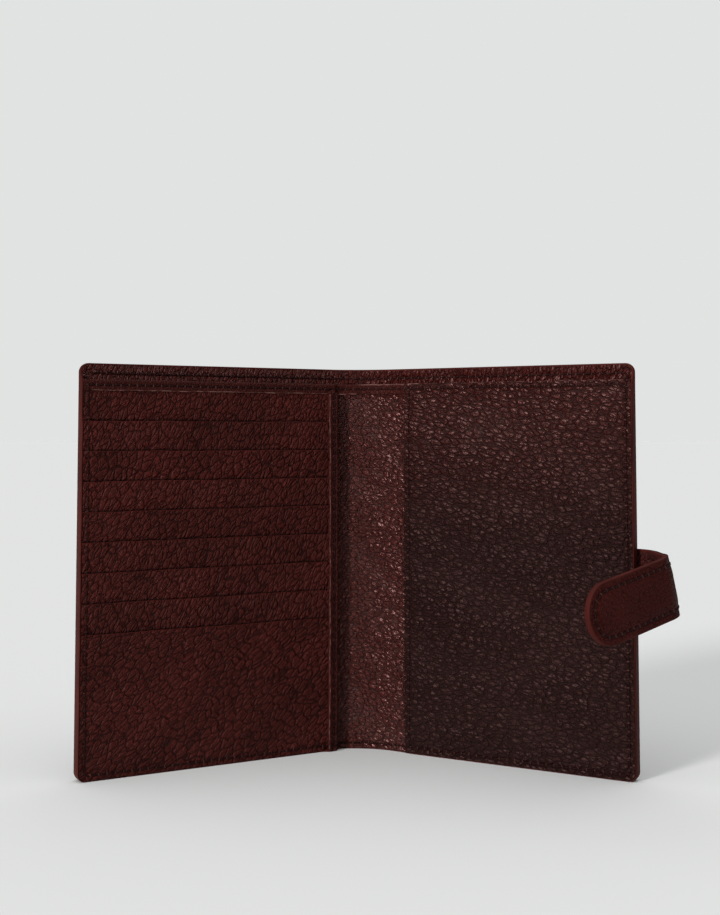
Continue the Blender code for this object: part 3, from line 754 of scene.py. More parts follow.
def mouth_line(number, across):
    """Height of a pocket's mouth, which wanders a little from a straight line."""
    level = FIRST_MOUTH - SLOT_PITCH * number
    level = level + 0.13 * MM * waver(across, 55 * MM, 40 + number)
    return level + 0.05 * MM * waver(across, 9 * MM, 60 + number)


def pocket_depth(number, across, up):
    """Front face of a pocket's strip: highest at its mouth, and flat lower down."""
    down = (mouth_line(number, across) - up) / SLOT_PITCH
    lift = SLOT_LIFT * (1 - smooth_step(down * 0.95))
    lift = lift * (1 + 0.22 * waver(across, 37 * MM, 70 + number))
    sewn = 1 - 0.55 * bell(FORE_EDGE - np.abs(across), 3.2 * MM)
    return SLOT_FRONT + lift * sewn + slip(across, up)


def card_depth(across, up):
    """Front face of the whole card panel."""
    depth = CARD_BASE_FRONT + slip(across, up)
    for number in range(SLOTS + 1):
        depth = np.where(up <= mouth_line(number, across), pocket_depth(number, across, up), depth)
    return depth


levels = np.unique(np.concatenate([
    CORNER_LEVELS, graded(4 * MM, BAND_BOTTOM + 1.5 * MM, 1.2 * MM, (FIRST_MOUTH, 1.5 * MM, 0.15 * MM)),
]))
grid = cover_grid(-1, cover_run(0.5 * MM - CARD_EDGE, 1.3 * MM), levels, high_corner=False)
# Painted shadow: the panel's top strip darkens just above the first pocket's mouth.
under_mouth = grid[1] - mouth_line(0, grid[0]) - 0.2 * MM
lift = slip(*grid)
front = CARD_BASE_FRONT + lift - 0.5 * seam_pull(*grid)
base = sheet(
    "card_panel_back", wallet, *grid, CARD_BASE_BACK + lift, front, PANEL_LEATHER,
    lean=60, draw=(0.50, 1.05), cut=8, dirt=0.8 * bell(under_mouth, 0.45 * MM),
)
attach(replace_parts(base, "card_panel_base"), "front_cover")

LEANS = (66, 54, 60, 50, 66, 56, 62, 40)  # how each strip's grain leans
STRIP_THICKNESS = 0.45 * MM
run = cover_run(-SLOTS_NEAR, 1.1 * MM)
for number in range(SLOTS + 1):
    last = number == SLOTS
    if last:
        levels = lower_levels(LAST_MOUTH, 1.1 * MM, (LAST_MOUTH, 0.8 * MM, 0.1 * MM))
        across, up = cover_grid(-1, run, levels, high_corner=False)
        up = up + (mouth_line(number, across) - LAST_MOUTH) * smooth_step((up - 30 * MM) / (20 * MM))
    else:
        share = np.concatenate([
            np.linspace(0, 0.19, 4), np.linspace(0.205, 0.29, 10), np.linspace(0.32, 0.93, 16),
            np.linspace(0.95, 1, 8),
        ])
        across, share = np.meshgrid(np.sort(-run), share)
        low = mouth_line(number, across) - SLOT_PITCH - 3.0 * MM
        up = low + share * (mouth_line(number, across) - low)
    face = pocket_depth(number, across, up)
    fallen = rounded(mouth_line(number, across) - up, 0.3 * MM)
    pulled = (0.7 if last else 0.45) * seam_pull(across, up)
    uneven = soft(across, up, 80 + number, 0.05 * MM, 11 * MM)
    front = face - fallen - pulled + uneven
    back = np.minimum(face - STRIP_THICKNESS + uneven * 0.2, front - 0.04 * MM)
    name = "card_panel_lower" if last else f"card_slot_{number + 1}"
    # Painted shadow on each strip, just above the mouth of the strip that lies over it.
    shadow = 0.0 if last else 0.85 * bell(up - mouth_line(number + 1, across) - 0.15 * MM, 0.42 * MM)
    piece = sheet(
        f"{name}_leather", wallet, across, up, back, front, PANEL_LEATHER, dirt=shadow,
        lean=LEANS[number], draw=(0.46, 0.85 if number == 1 else 1.1), cut=10 + number,
    )
    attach(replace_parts(piece, name), "front_cover")
print("card pockets:", SLOTS + 1)

# %% [markdown]
# ## Folded edge strip
# A strip of thin leather is folded round the card panel's free edge and stitched along its middle.
# Its near edge stands up as a fine line beside the pockets, made bright by a painted highlight.

# %% Folded strip beside the spine
STRIP_DEPTH = SLOT_FRONT + 1.35 * MM


def strip_near(up):
    """Place across of the folded strip's near edge, which wanders a little."""
    near = CARD_EDGE - CARD_STRIP + 0.14 * MM * waver(up, 23 * MM, 91)
    return near + 0.05 * MM * waver(up, 6 * MM, 92)


share = np.concatenate([
    np.linspace(0, 0.14, 6), np.linspace(0.18, 0.72, 14), np.linspace(0.76, 1, 12),
])
levels = graded(PAINT_REACH, BAND_BOTTOM + 0.6 * MM, 0.9 * MM)
share, up = np.meshgrid(share, levels)
near = strip_near(up)
far = CARD_EDGE + 0.10 * MM * waver(up, 47 * MM, 93)
across = near + share * (far - near)
lift = slip(across, up)
crest = STRIP_DEPTH + 0.15 * MM * bell(across - near - 0.5 * MM, 0.5 * MM)
fallen = rounded(far - across, 1.2 * MM) + rounded(across - near, 0.25 * MM)
pulled = 0.30 * MM * bell(across - (CARD_EDGE - CARD_STRIP / 2), 0.5 * MM)
front = crest + lift - fallen - pulled - 0.8 * seam_pull(across, up)
back = CARD_BASE_BACK - 0.3 * MM + lift + rounded(far - across, 1.1 * MM)
back = np.minimum(back, front - 0.1 * MM)
strip = sheet(
    "card_panel_folded_edge", wallet, across, up, back, front, FOLDED_LEATHER,
    lean=4, draw=(0.8, 1.0), cut=20,
)
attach(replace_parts(strip, "card_panel_edge_binding"), "front_cover")
print("folded strip:", len(strip.data.polygons), "faces")

# %% [markdown]
# ## The passport pocket
# One large panel, sewn down at the top, the fore edge and the bottom, takes the passport's cover. It
# was drawn over a form, so its middle stands off the divider, and its edge beside the spine is
# turned and stitched and stays free.

# %% Passport pocket
def pouch(across, up):
    """How far the passport pocket's middle stands off the divider."""
    side = np.minimum(FORE_EDGE - across, (across - POCKET_EDGE) + 7 * MM)
    level = np.minimum(up, BAND_TOP - up)
    return POCKET_BULGE * smooth_step(side / (15 * MM)) * smooth_step(level / (17 * MM))


def pocket_face(across, up):
    return POCKET_FRONT + pouch(across, up)


POCKET_HEM = POCKET_EDGE + 2.1 * MM
run = cover_run(
    POCKET_EDGE, 1.1 * MM, (POCKET_EDGE, 1.2 * MM, 0.12 * MM), (POCKET_HEM, 1.2 * MM, 0.3 * MM)
)
levels = lower_levels(
    BAND_TOP, 1.1 * MM, (BAND_SEAM, 1.3 * MM, 0.3 * MM), (BAND_TOP, 0.7 * MM, 0.1 * MM)
)
across, up = cover_grid(1, run, levels, high_corner=False)
fallen = rounded(BAND_TOP - up, 0.5 * MM) + rounded(across - POCKET_EDGE, 0.5 * MM)
pulled = np.maximum.reduce([
    1.1 * seam_pull(across, np.minimum(up, HEIGHT / 2)), 0.26 * MM * bell(up - BAND_SEAM, 0.6 * MM),
    0.24 * MM * bell(across - POCKET_HEM, 0.6 * MM),
])
uneven = soft(across, up, 101, 0.14 * MM, 16 * MM) * smooth_step(inset(across, up) / (9 * MM))
front = pocket_face(across, up) - fallen - pulled + uneven
back = np.minimum(POCKET_BACK + pouch(across, up) + uneven, front - 0.08 * MM)
# Painted shade: the passport pocket's colour darkens towards the bottom, so that only its top reads as
# lit.
darker = 0.10 + 0.68 * smooth_step((BAND_TOP - up) / (0.45 * HEIGHT))  # the pocket darkens downwards
pocket = sheet(
    "passport_pocket_leather", wallet, across, up, back, front, POUCH_LEATHER, dirt=darker,
    lean=-14, draw=(0.52, 1.15), cut=30,
)
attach(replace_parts(pocket, "passport_pocket_panel"), "back_cover")
print("passport pocket:", len(pocket.data.polygons), "faces")

# %% [markdown]
# ## Painted edges
# Round the covers every layer ends flush, and the stack of cut edges is sanded and painted until it
# reads as one smooth rounded band. The band is swept along the outline: at each place it spans the
# layers that are there, so it is narrow along the top and wide beside the pockets.

# %% Bands along the edges
def inside_depth(across, up):
    """Front face of whatever lies on top at a place inside the holder."""
    across, up = np.broadcast_arrays(np.asarray(across, float), np.asarray(up, float))
    band = np.where(across > POCKET_EDGE, POCKET_FRONT, band_depth(across))
    below = np.where(across > POCKET_EDGE, pocket_face(across, up), DIVIDER_FRONT)
    below = np.where(across < CARD_EDGE, card_depth(across, up), below)
    on_strip = (across < CARD_EDGE) & (across > CARD_EDGE - CARD_STRIP)
    below = np.where(on_strip, STRIP_DEPTH + slip(across, up), below)
    depth = np.where(up > BAND_BOTTOM, band, below)
    return np.where(up > BAND_TOP, FACING_FRONT, depth)


def swept(name, where, outline, outwards, low, high, finish, bulge=0.25 * MM, buried=0.6 * MM):
    """A rounded band along an outline of places, from one depth to another, closed all round."""
    outline, outwards = np.asarray(outline, float), np.asarray(outwards, float)
    low, high = (np.broadcast_to(depth, len(outline)) for depth in (low, high))
    angles = np.linspace(0, math.pi, 9)
    rise = np.concatenate([bulge * np.sin(angles) ** 0.7 + 0.03 * MM, [-buried, -buried]])
    level = np.concatenate([(1 - np.cos(angles)) / 2, [0.93, 0.07]])
    rows, count = len(outline), len(rise)
    places = outline[:, None, :] + outwards[:, None, :] * rise[None, :, None]
    depth = low[:, None] + (high - low)[:, None] * level[None, :]
    points = where(places[..., 0], places[..., 1], depth).reshape(-1, 3)
    index = np.arange(rows * count).reshape(rows, count)
    ahead = np.roll(index, -1, axis=1)
    faces = np.stack([index[:-1], index[1:], ahead[1:], ahead[:-1]], -1).reshape(-1, 4).tolist()
    faces += [index[0].tolist(), index[-1, ::-1].tolist()]
    piece = make_piece(name, points, faces, finish, sharp=60)
    tidy = bmesh.new()
    tidy.from_mesh(piece.data)
    bmesh.ops.recalc_face_normals(tidy, faces=tidy.faces)
    tidy.to_mesh(piece.data)
    tidy.free()
    return piece


def cover_outline(side, end_inset=0.0, top_inset=0.0):
    """Places and outward directions from the spine's middle along the bottom, the fore edge and the
    top, about a millimetre apart."""
    radius = max(CORNER_RADIUS - end_inset, 1.2 * MM)
    end, low, high = FORE_EDGE - end_inset, end_inset, HEIGHT - max(end_inset, top_inset)
    places, normals = [], []

    def line(start, finish, normal):
        count = max(2, round(math.dist(start, finish) / MM))
        for share in np.linspace(0, 1, count, endpoint=False):
            places.append([a + (b - a) * share for a, b in zip(start, finish)])
            normals.append(normal)

    def corner(centre, start):
        for angle in np.radians(np.linspace(start, start + 90, 9))[:-1]:
            normal = (math.cos(angle), math.sin(angle))
            places.append([centre[0] + radius * normal[0], centre[1] + radius * normal[1]])
            normals.append(normal)

    line((0, low), (end - radius, low), (0, -1))
    corner((end - radius, low + radius), -90)
    line((end, low + radius), (end, high - radius), (1, 0))
    corner((end - radius, high - radius), 0)
    line((end - radius, high), (0, high), (0, 1))
    places.append([0, high])
    normals.append((0, 1))
    flip = np.array([side, 1.0])
    return np.array(places) * flip, np.array(normals) * flip


for side, (word, cover) in halves.items():
    places, normals = cover_outline(side)
    within = places - normals * 1.0 * MM
    top = inside_depth(within[:, 0], within[:, 1])
    top = np.convolve(np.pad(top, 2, mode="edge"), [0.1, 0.2, 0.4, 0.2, 0.1], mode="valid")
    edge = swept(
        f"{word}_painted_edge", wallet, places, normals, OUTSIDE + 0.02 * MM, top - 0.12 * MM, EDGE_PAINT
    )
    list(fold_zone(side))
    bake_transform(edge)
    print(word, "edge:", len(places), "places")

edges = []
for number in range(SLOTS + 1):
    line = np.linspace(-(FORE_EDGE - 0.3 * MM), SLOTS_NEAR, 110)
    level = mouth_line(number, line) - 0.10 * MM
    face = pocket_depth(number, line, level)
    places, normals = np.stack([line, level], -1), np.tile((0.0, 1.0), (len(line), 1))
    edges.append(swept(
        f"mouth_edge_{number + 1}", wallet, places, normals, face - 0.42 * MM, face - 0.04 * MM,
        EDGE_PAINT, bulge=0.12 * MM, buried=0.25 * MM,
    ))
for piece in edges:
    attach(piece, "front_cover")
print("painted mouths:", len(edges))

# %% Painted highlight lines along folded leather
def fold_line(name, places, depth, thick=0.16 * MM):
    """A fine raised line along a fold, coloured light as a painted highlight, which faces the viewer of
    the inside.
    """
    along = np.gradient(np.asarray(places), axis=0)
    normals = np.stack([-along[:, 1], along[:, 0]], -1) / np.linalg.norm(along, axis=1)[:, None]
    piece = swept(
        name, wallet, places - normals * thick, normals, depth - 0.22 * MM, depth, FOLD_LINE,
        bulge=2 * thick, buried=0.0,
    )
    return piece


line = np.linspace(0.2 * MM, FORE_EDGE - 3.4 * MM, 180)
for side, (word, cover) in halves.items():
    if side > 0:
        places = np.stack([line, BAND_TOP - 0.30 * MM + 0.05 * MM * waver(line, 9 * MM, 151)], -1)
        depth = np.where(line > POCKET_EDGE, POCKET_FRONT, band_depth(line)) - 0.10 * MM
    else:
        places = np.stack([-line, band_lower(-line) + 0.12 * MM], -1)
        depth = band_depth(-line) + 0.02 * MM
    bead = fold_line(f"{word}_band_fold_line", places, depth)
    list(fold_zone(side))
    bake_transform(bead)

line = np.linspace(1.2 * MM, BAND_BOTTOM - 0.2 * MM, 180)
near = strip_near(line)
places = np.stack([near + 0.22 * MM, line], -1)
bead = fold_line("card_panel_fold_line", places, STRIP_DEPTH + 0.12 * MM + slip(near, line))
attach(bead, "front_cover")
print("rubbed fold lines: 3")

# %% [markdown]
# ## The closure strap
# The strap is two layers, an outer leather crowned over a thin filler and a grained lining, with its
# painted edges showing all round and a half-round tip. It hangs from the back cover by three joints,
# and a piece may bend across only one of them, so it is made as three lengths that meet between the
# joints. The snap's cap lies under the outer leather and shows there as a faint ring.

# %% Strap lengths
HEEL_CUT, MIDDLE_CUT = SPAN / 4, SPAN * 3 / 4
TIP_CENTRE = STRAP_END - STRAP_HALF_WIDTH
STRAP_SEAM_INSET = 2.5 * MM
SNAP_RING = 5.5 * MM
strap_lengths = (
    ("strap_root", STRAP_START, HEEL_CUT, "back_cover", "strap_heel", 0.0, 3.4 * MM),
    ("strap_middle", HEEL_CUT, MIDDLE_CUT, "strap_heel", "strap_middle", SPAN / 2, SPAN / 4),
    ("strap_tip", MIDDLE_CUT, STRAP_END, "strap_middle", "strap_tip", SPAN, SPAN / 4),
)
strap_nodes = {
    "strap_root": ("strap_root_{0}", "strap_heel_{0}"), "strap_middle": ("strap_middle_{0}",),
    "strap_tip": ("strap_tip_{0}",),
}


def strap_edge(along, across):
    """How far a place lies inside the strap's outline."""
    round_tip = STRAP_HALF_WIDTH - np.hypot(np.maximum(along - TIP_CENTRE, 0), across)
    return np.where(along > TIP_CENTRE, round_tip, STRAP_HALF_WIDTH - np.abs(across))


def strap_grid(start, end):
    """Columns along one length of the strap, and rows that follow its outline."""
    last = TIP_CENTRE if end == STRAP_END else end
    along = graded(start + (PAINT_REACH if start == STRAP_START else 0), last, 1.0 * MM)
    if end == STRAP_END:
        round_tip = TIP_CENTRE + (STRAP_HALF_WIDTH - PAINT_REACH) * np.sin(np.linspace(0, 1.50, 26))
        along = np.concatenate([along, round_tip[1:]])
    over = np.maximum(along - TIP_CENTRE, 0)
    width = np.sqrt((STRAP_HALF_WIDTH - PAINT_REACH) ** 2 - over ** 2)
    share = np.concatenate([
        np.linspace(0, 0.68, 14), np.linspace(0.71, 0.93, 12), np.linspace(0.95, 1, 5),
    ])
    share = np.concatenate([-share[:0:-1], share])
    return np.broadcast_to(along, (len(share), len(along))), share[:, None] * width[None, :]


def bent_strap(piece, length, layer=None):
    name, _, _, before, after, middle, reach = length
    start, end = (Vector(strap(middle + way * reach, 0, 0)) for way in (-1, 1))
    if layer:
        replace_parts(piece, *[node.format(layer) for node in strap_nodes[name]])
    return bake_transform(piece)


for length in strap_lengths:
    name, start, end = length[:3]
    along, across = strap_grid(start, end)
    edge = strap_edge(along, across)
    pulled = 0.22 * MM * bell(edge - STRAP_SEAM_INSET, 0.6 * MM)
    ring = np.hypot(along - TIP_CENTRE, across) - SNAP_RING
    crown = 0.35 * MM * smooth_step((edge - 1.2 * MM) / (5 * MM)) + 0.10 * MM * bell(ring, 0.55 * MM)
    uneven = soft(along, across, 120, 0.06 * MM, 17 * MM)
    fallen = rounded(edge - PAINT_REACH, 0.3 * MM)
    outside = STRAP_OUTSIDE + 0.1 * MM - crown + pulled + fallen + uneven
    outer = sheet(
        f"{name}_outer_leather", strap, along, across, outside, 0.0, STRAP_LEATHER,
        lean=10, draw=(0.8, 1.0), cut=40,
    )
    bent_strap(outer, length, "outer")
    front = LINING_FRONT - pulled + 0.8 * uneven - fallen
    lining = sheet(
        f"{name}_lining_leather", strap, along, across, LINING_BACK, front, LINING_LEATHER,
        lean=35, draw=(0.7, 1.0), cut=43,
    )
    bent_strap(lining, length, "lining")
print("strap", round((STRAP_END - STRAP_START) / MM, 1), "mm long in", len(strap_lengths), "lengths")

# %% The strap's painted edges
def strap_contour(start, end, inside=0.0, corner=2 * MM):
    """Outlines of one length of the strap, at an inset from its edge, with outward directions."""
    half = STRAP_HALF_WIDTH - inside
    first = start + (inside + corner if start == STRAP_START else 0)
    last = TIP_CENTRE if end == STRAP_END else end
    along = np.linspace(first, last, max(2, round((last - first) / MM) + 1))
    upper = [(place, half, 0, 1) for place in along]
    lower = [(place, -half, 0, -1) for place in along]

    def arc(middle, across, radius, low, high):
        turns = np.radians(np.linspace(low, high, 9 + round(abs(high - low) / 8)))[1:-1]
        ways = [(math.cos(turn), math.sin(turn)) for turn in turns]
        return [(middle + radius * x, across + radius * y, x, y) for x, y in ways]

    if end == STRAP_END:
        lines = [upper + arc(TIP_CENTRE, 0, half, 90, -90) + lower[::-1]]
    elif start == STRAP_START:
        bend = corner - half
        turned = arc(first, bend, corner, 270, 180) + arc(first, -bend, corner, 180, 90)
        lines = [lower[::-1] + turned + upper]
    else:
        lines = [upper, lower]
    return [(np.array(line)[:, :2], np.array(line)[:, 2:]) for line in lines]


for length in strap_lengths:
    for number, (places, normals) in enumerate(strap_contour(*length[1:3])):
        edge = swept(
            f"{length[0]}_painted_edge_{number + 1}", strap, places, normals, STRAP_OUTSIDE + 0.1 * MM,
            LINING_FRONT - 0.06 * MM, EDGE_PAINT, bulge=0.3 * MM,
        )
        bent_strap(edge, length)
print("strap edges painted")

# %% [markdown]
# ## Stitches
# Saddle stitches are short lengths of waxed thread that dip into a hole at each end, lean a little
# off the line, and pull a small pucker of leather up between them. The seams are guide lines with a
# direction that stands out of the leather at each point. One geometry node tree places a stitch and a
# pucker along them at the stitch length, and the result is a plain mesh for each body.

# %% Stitch tree
SLANT_CHANCE = 0.07  # radians either way, so that no two stitches lie quite alike
STITCH_SEED = 7
PUCKER_SIZE = (0.38 * MM, 0.75 * MM, 0.30 * MM)  # half its length, width and height


def stitch_tree():
    """Guide lines in, stitches out."""
    tree = bpy.data.node_groups.new("saddle_stitches", "GeometryNodeTree")
    tree.interface.new_socket("Geometry", in_out="INPUT", socket_type="NodeSocketGeometry")
    for label in ("Stitch Length", "Thread Length", "Thread Radius", "Rise", "Slant"):
        tree.interface.new_socket(label, in_out="INPUT", socket_type="NodeSocketFloat")
    tree.interface.new_socket("Geometry", in_out="OUTPUT", socket_type="NodeSocketGeometry")

    def node(kind, settings=None, **sockets):
        made = tree.nodes.new(kind)
        for label, value in (settings or {}).items():
            setattr(made, label, value)
        for label, value in sockets.items():
            socket = made.inputs["abc".index(label) if label in "abc" else label.replace("_", " ")]
            if isinstance(value, bpy.types.NodeSocket):
                tree.links.new(value, socket)
            else:
                socket.default_value = value
        return made

    def half(value, sign):
        return node("ShaderNodeMath", {"operation": "MULTIPLY"}, a=value, b=0.5 * sign).outputs[0]

    def place(**parts):
        return node("ShaderNodeCombineXYZ", None, **parts).outputs[0]

    given = node("NodeGroupInput").outputs
    line = node("GeometryNodeMeshToCurve", None, Mesh=given["Geometry"]).outputs[0]
    line = node(
        "GeometryNodeResampleCurve", {"mode": "LENGTH"}, Curve=line, Length=given["Stitch Length"]
    ).outputs[0]
    outwards = node(
        "GeometryNodeInputNamedAttribute", {"data_type": "FLOAT_VECTOR"}, Name="outwards"
    ).outputs[0]
    tangent = node("GeometryNodeInputTangent").outputs[0]
    turn = node(
        "FunctionNodeAxesToRotation", {"primary_axis": "Z", "secondary_axis": "X"},
        Primary_Axis=outwards, Secondary_Axis=tangent,
    ).outputs[0]
    chance = node("FunctionNodeRandomValue", {"data_type": "FLOAT"})
    chance.inputs[2].default_value, chance.inputs[3].default_value = -SLANT_CHANCE, SLANT_CHANCE
    chance.inputs["Seed"].default_value = STITCH_SEED
    lean = node("ShaderNodeMath", {"operation": "ADD"}, a=given["Slant"], b=chance.outputs[1]).outputs[0]
    lean = node("FunctionNodeEulerToRotation", None, Euler=place(Z=lean)).outputs[0]
    turn = node(
        "FunctionNodeRotateRotation", {"rotation_space": "LOCAL"}, Rotation=turn, Rotate_By=lean
    ).outputs[0]

    curve = node(
        "GeometryNodeCurveQuadraticBezier", None, Resolution=6,
        Start=place(X=half(given["Thread Length"], -1), Z=half(given["Rise"], -1)),
        Middle=place(Z=given["Rise"]),
        End=place(X=half(given["Thread Length"], 1), Z=half(given["Rise"], -1)),
    ).outputs[0]
    circle = node(
        "GeometryNodeCurvePrimitiveCircle", None, Resolution=6, Radius=given["Thread Radius"]
    ).outputs[0]
    thread = node(
        "GeometryNodeCurveToMesh", None, Curve=curve, Profile_Curve=circle, Fill_Caps=True
    ).outputs[0]
    thread = node(
        "GeometryNodeStoreNamedAttribute", {"data_type": "BOOLEAN", "domain": "FACE"},
        Geometry=thread, Name="is_thread", Value=True,
    ).outputs[0]
    pucker = node("GeometryNodeMeshUVSphere", None, Segments=8, Rings=5, Radius=1.0).outputs[0]
    pucker = node(
        "GeometryNodeTransform", None, Geometry=pucker,
        Translation=place(X=half(given["Stitch Length"], 1), Z=half(given["Thread Radius"], -0.4)),
        Scale=PUCKER_SIZE,
    ).outputs[0]
    both = node("GeometryNodeJoinGeometry")
    for part in (thread, pucker):
        tree.links.new(part, both.inputs[0])
    made = node(
        "GeometryNodeInstanceOnPoints", None, Points=line, Instance=both.outputs[0], Rotation=turn
    ).outputs[0]
    made = node("GeometryNodeSetShadeSmooth", None, Geometry=made).outputs[0]
    made = node("GeometryNodeRealizeInstances", None, Geometry=made).outputs[0]
    is_thread = node(
        "GeometryNodeInputNamedAttribute", {"data_type": "BOOLEAN"}, Name="is_thread"
    ).outputs[0]
    # The puckers are coloured a little lighter and greyer than the leather, as a painted highlight.
    made = node("GeometryNodeSetMaterial", None, Geometry=made, Material=PUCKER).outputs[0]
    made = node(
        "GeometryNodeSetMaterial", None, Geometry=made, Selection=is_thread, Material=THREAD
    ).outputs[0]
    tree.links.new(made, node("NodeGroupOutput").inputs[0])
    return tree


STITCHES = stitch_tree()
print("stitch tree:", len(STITCHES.nodes), "nodes")

# %% Sewing along guide lines
def seam_line(where, places, depth, way):
    """Points of a seam, and directions out of the leather there: way is 1 inside, -1 outside."""
    places = np.asarray(places, float)
    points = where(places[:, 0], places[:, 1], depth)
    above = where(places[:, 0], places[:, 1], depth + way * 0.1 * MM)
    return points, (above - points) / np.linalg.norm(above - points, axis=1)[:, None]


def sewn(name, lines):
    """A mesh of stitches along several guide lines."""
    points = np.concatenate([line[0] for line in lines])
    starts = np.cumsum([0] + [len(line[0]) for line in lines])
    edges = [(a, a + 1) for low, high in zip(starts, starts[1:]) for a in range(low, high - 1)]
    mesh = bpy.data.meshes.new(name + "_guide")
    mesh.from_pydata([tuple(point) for point in points], edges, [])
    outwards = np.concatenate([line[1] for line in lines]).astype(np.float32)
    attribute = mesh.attributes.new("outwards", "FLOAT_VECTOR", "POINT")
    attribute.data.foreach_set("vector", outwards.ravel())
    guide = bpy.data.objects.new(name + "_guide", mesh)
    bpy.context.scene.collection.objects.link(guide)
    modifier = guide.modifiers.new("stitches", "NODES")
    modifier.node_group = STITCHES
    sizes = {
        "Stitch Length": STITCH_PITCH, "Thread Length": 0.74 * STITCH_PITCH,
        "Thread Radius": THREAD_RADIUS, "Rise": 0.34 * MM, "Slant": math.radians(9),
    }
    for item in STITCHES.interface.items_tree:
        if item.in_out == "INPUT" and item.name in sizes:
            modifier[item.identifier] = sizes[item.name]
    graph = bpy.context.evaluated_depsgraph_get()
    made = bpy.data.meshes.new_from_object(guide.evaluated_get(graph))
    bpy.data.objects.remove(guide)
    piece = bpy.data.objects.new(name, made)
    bpy.context.scene.collection.objects.link(piece)
    print(name, len(made.polygons), "faces")
    return piece


def straight(start, end, count=120):
    return np.linspace(start, end, count)


ROOT_ROW = -5 * MM  # the row of stitches across the strap, just before its first bend


for side, (word, cover) in halves.items():
    rim = cover_outline(side, SEAM_INSET, TOP_SEAM_INSET)[0]
    depth = np.pad(inside_depth(*rim.T), 1, mode="edge")
    depth = np.convolve(depth, [0.25, 0.5, 0.25], mode="valid")
    lines = [
        seam_line(wallet, rim, depth - 0.16 * MM, 1),
        seam_line(wallet, rim, OUTSIDE + 0.32 * MM, -1),
    ]
    band = straight((0, BAND_SEAM), (side * (FORE_EDGE - 3.5 * MM), BAND_SEAM))
    lines.append(seam_line(wallet, band, inside_depth(*band.T) - 0.14 * MM, 1))
    if side < 0:
        middle = CARD_EDGE - CARD_STRIP / 2
        strip_seam = straight((middle, 4 * MM), (middle, BAND_BOTTOM - 1 * MM))
        lines.append(seam_line(wallet, strip_seam, STRIP_DEPTH + slip(*strip_seam.T) - 0.20 * MM, 1))
    else:
        hem = straight((POCKET_HEM, 4 * MM), (POCKET_HEM, BAND_SEAM - 2 * MM))
        lines.append(seam_line(wallet, hem, pocket_face(*hem.T) - 0.14 * MM, 1))
    threads = sewn(f"{word}_stitching", lines)
    spine_threads = ["spine_lower_thread", "spine_upper_thread"] if side > 0 else []
    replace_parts(threads, f"{word}_seam_thread", *spine_threads)
    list(fold_zone(side))
    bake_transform(threads)

for length in strap_lengths:
    name, start, end, before, after, middle, reach = length
    lines = []
    for places, _ in strap_contour(start, end, STRAP_SEAM_INSET):
        lines.append(seam_line(strap, places, STRAP_OUTSIDE + 0.14 * MM, -1))
        if name != "strap_root":
            lines.append(seam_line(strap, places, LINING_FRONT - 0.14 * MM, 1))
    if name == "strap_root":
        half = STRAP_HALF_WIDTH - STRAP_SEAM_INSET
        row = straight((ROOT_ROW, -half), (ROOT_ROW, half), 20)
        lines.append(seam_line(strap, row, STRAP_OUTSIDE - 0.35 * MM, -1))
    threads = sewn(f"{name}_stitching", lines)
    if name != "strap_middle":
        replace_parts(threads, f"{name}_thread")
    [Vector(strap(middle + way * reach, 0, 0)) for way in (-1, 1)]
    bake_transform(threads)

# %% [markdown]
# ## Boards and snap
# The stiffening boards inside the covers and the turned metal parts of the snap already have their
# true shapes in the CAD model, so they stay, and only take their finishes.

# %% Finishes of the CAD parts that stay
for name, finish in (
    ("back_stiffener_board", BOARD), ("front_stiffener_board", BOARD), ("snap_stud", SNAP_METAL),
    ("snap_stud_post", SNAP_METAL), ("snap_socket", SNAP_METAL), ("snap_cap", SNAP_METAL),
):
    for place in frame["nodes"][name].material_slots:
        place.material = finish
    print(name, "finished in", finish.name)

# %% [markdown]
# ## Floor, light and camera
# The floor is pale and plain, and its brightness under the lamps is close to the backdrop's, so that
# the two run into each other. The camera sees one even backdrop. The object is lit by a separate
# dome, bright above like a soft box and dim at the horizon, where dark leather would only mirror it
# as a grey veil. One broad lamp low at the left throws a soft shadow to the right.

# %% Stage
scene = bpy.context.scene
scene.view_settings.view_transform = "Standard"
PALE = (0.753, 0.768, 0.760)
SKY_LOW, SKY_HIGH = 0.10, 2.13  # the dome's strength at the horizon and overhead
SKY_START, SKY_END = 0.45, 0.90  # heights on the unit dome between which it brightens
FLOOR_GREY = 0.656
LAMP_STRENGTH, LAMP_ANGLE = 3.0, math.radians(12)
LAMP_TOWARDS = Vector((-0.7, -0.7, 0.30))
LENS, LENS_SHIFT = 51.36, -0.1106
CAMERA_ASIDE, CAMERA_AWAY, CAMERA_HEIGHT = 1.1 * MM, 0.5135, 0.1202
CAMERA_TILT = math.radians(93.5)

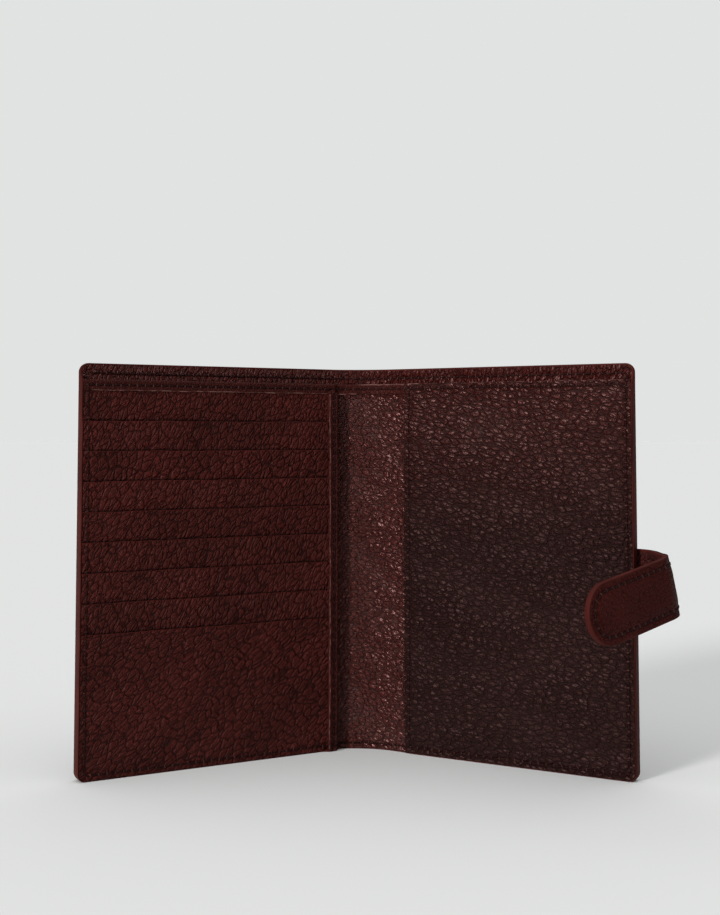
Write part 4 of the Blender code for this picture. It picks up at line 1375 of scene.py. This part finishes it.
floor_mesh = bpy.data.meshes.new("studio_floor")
reach = 30.0
floor_mesh.from_pydata(
    [(-reach, -reach, 0), (reach, -reach, 0), (reach, reach, 0), (-reach, reach, 0)],
    [], [(0, 1, 2, 3)],
)
floor = bpy.data.objects.new("studio_floor", floor_mesh)
scene.collection.objects.link(floor)
floor_finish = Finish(
    "pale_floor", Base_Color=(FLOOR_GREY, FLOOR_GREY, FLOOR_GREY, 1), Roughness=1.0,
    Specular_IOR_Level=0.0,
)
floor_mesh.materials.append(floor_finish.material)

world = bpy.data.worlds.new("studio")
scene.world = world
world.use_nodes = True
sky, links = world.node_tree.nodes, world.node_tree.links
backdrop = sky["Background"]
backdrop.inputs["Color"].default_value = (*PALE, 1)
dome = sky.new("ShaderNodeBackground")
direction = sky.new("ShaderNodeSeparateXYZ")
links.new(sky.new("ShaderNodeTexCoord").outputs["Generated"], direction.inputs[0])
height = sky.new("ShaderNodeMapRange")
for label, value in (
    ("From Min", SKY_START), ("From Max", SKY_END), ("To Min", SKY_LOW), ("To Max", SKY_HIGH),
):
    height.inputs[label].default_value = value
links.new(direction.outputs["Z"], height.inputs["Value"])
links.new(height.outputs[0], dome.inputs["Strength"])
dome.inputs["Color"].default_value = (*PALE, 1)
either = sky.new("ShaderNodeMixShader")
links.new(sky.new("ShaderNodeLightPath").outputs["Is Camera Ray"], either.inputs[0])
links.new(dome.outputs[0], either.inputs[1])
links.new(backdrop.outputs[0], either.inputs[2])
links.new(either.outputs[0], sky["World Output"].inputs["Surface"])

lamp = bpy.data.lights.new("key", "SUN")
lamp.energy = LAMP_STRENGTH
lamp.angle = LAMP_ANGLE
key = bpy.data.objects.new("key", lamp)
scene.collection.objects.link(key)
key.rotation_euler = LAMP_TOWARDS.to_track_quat("Z", "Y").to_euler()

lens = bpy.data.cameras.new("camera")
lens.lens = LENS
lens.shift_y = LENS_SHIFT
camera = bpy.data.objects.new("camera", lens)
scene.collection.objects.link(camera)
camera.location = (SPINE_MIDDLE.x + CAMERA_ASIDE, SPINE_MIDDLE.y - CAMERA_AWAY, CAMERA_HEIGHT)
camera.rotation_euler = (CAMERA_TILT, 0, 0)
scene.camera = camera
print("camera at", [round(part, 4) for part in camera.location])
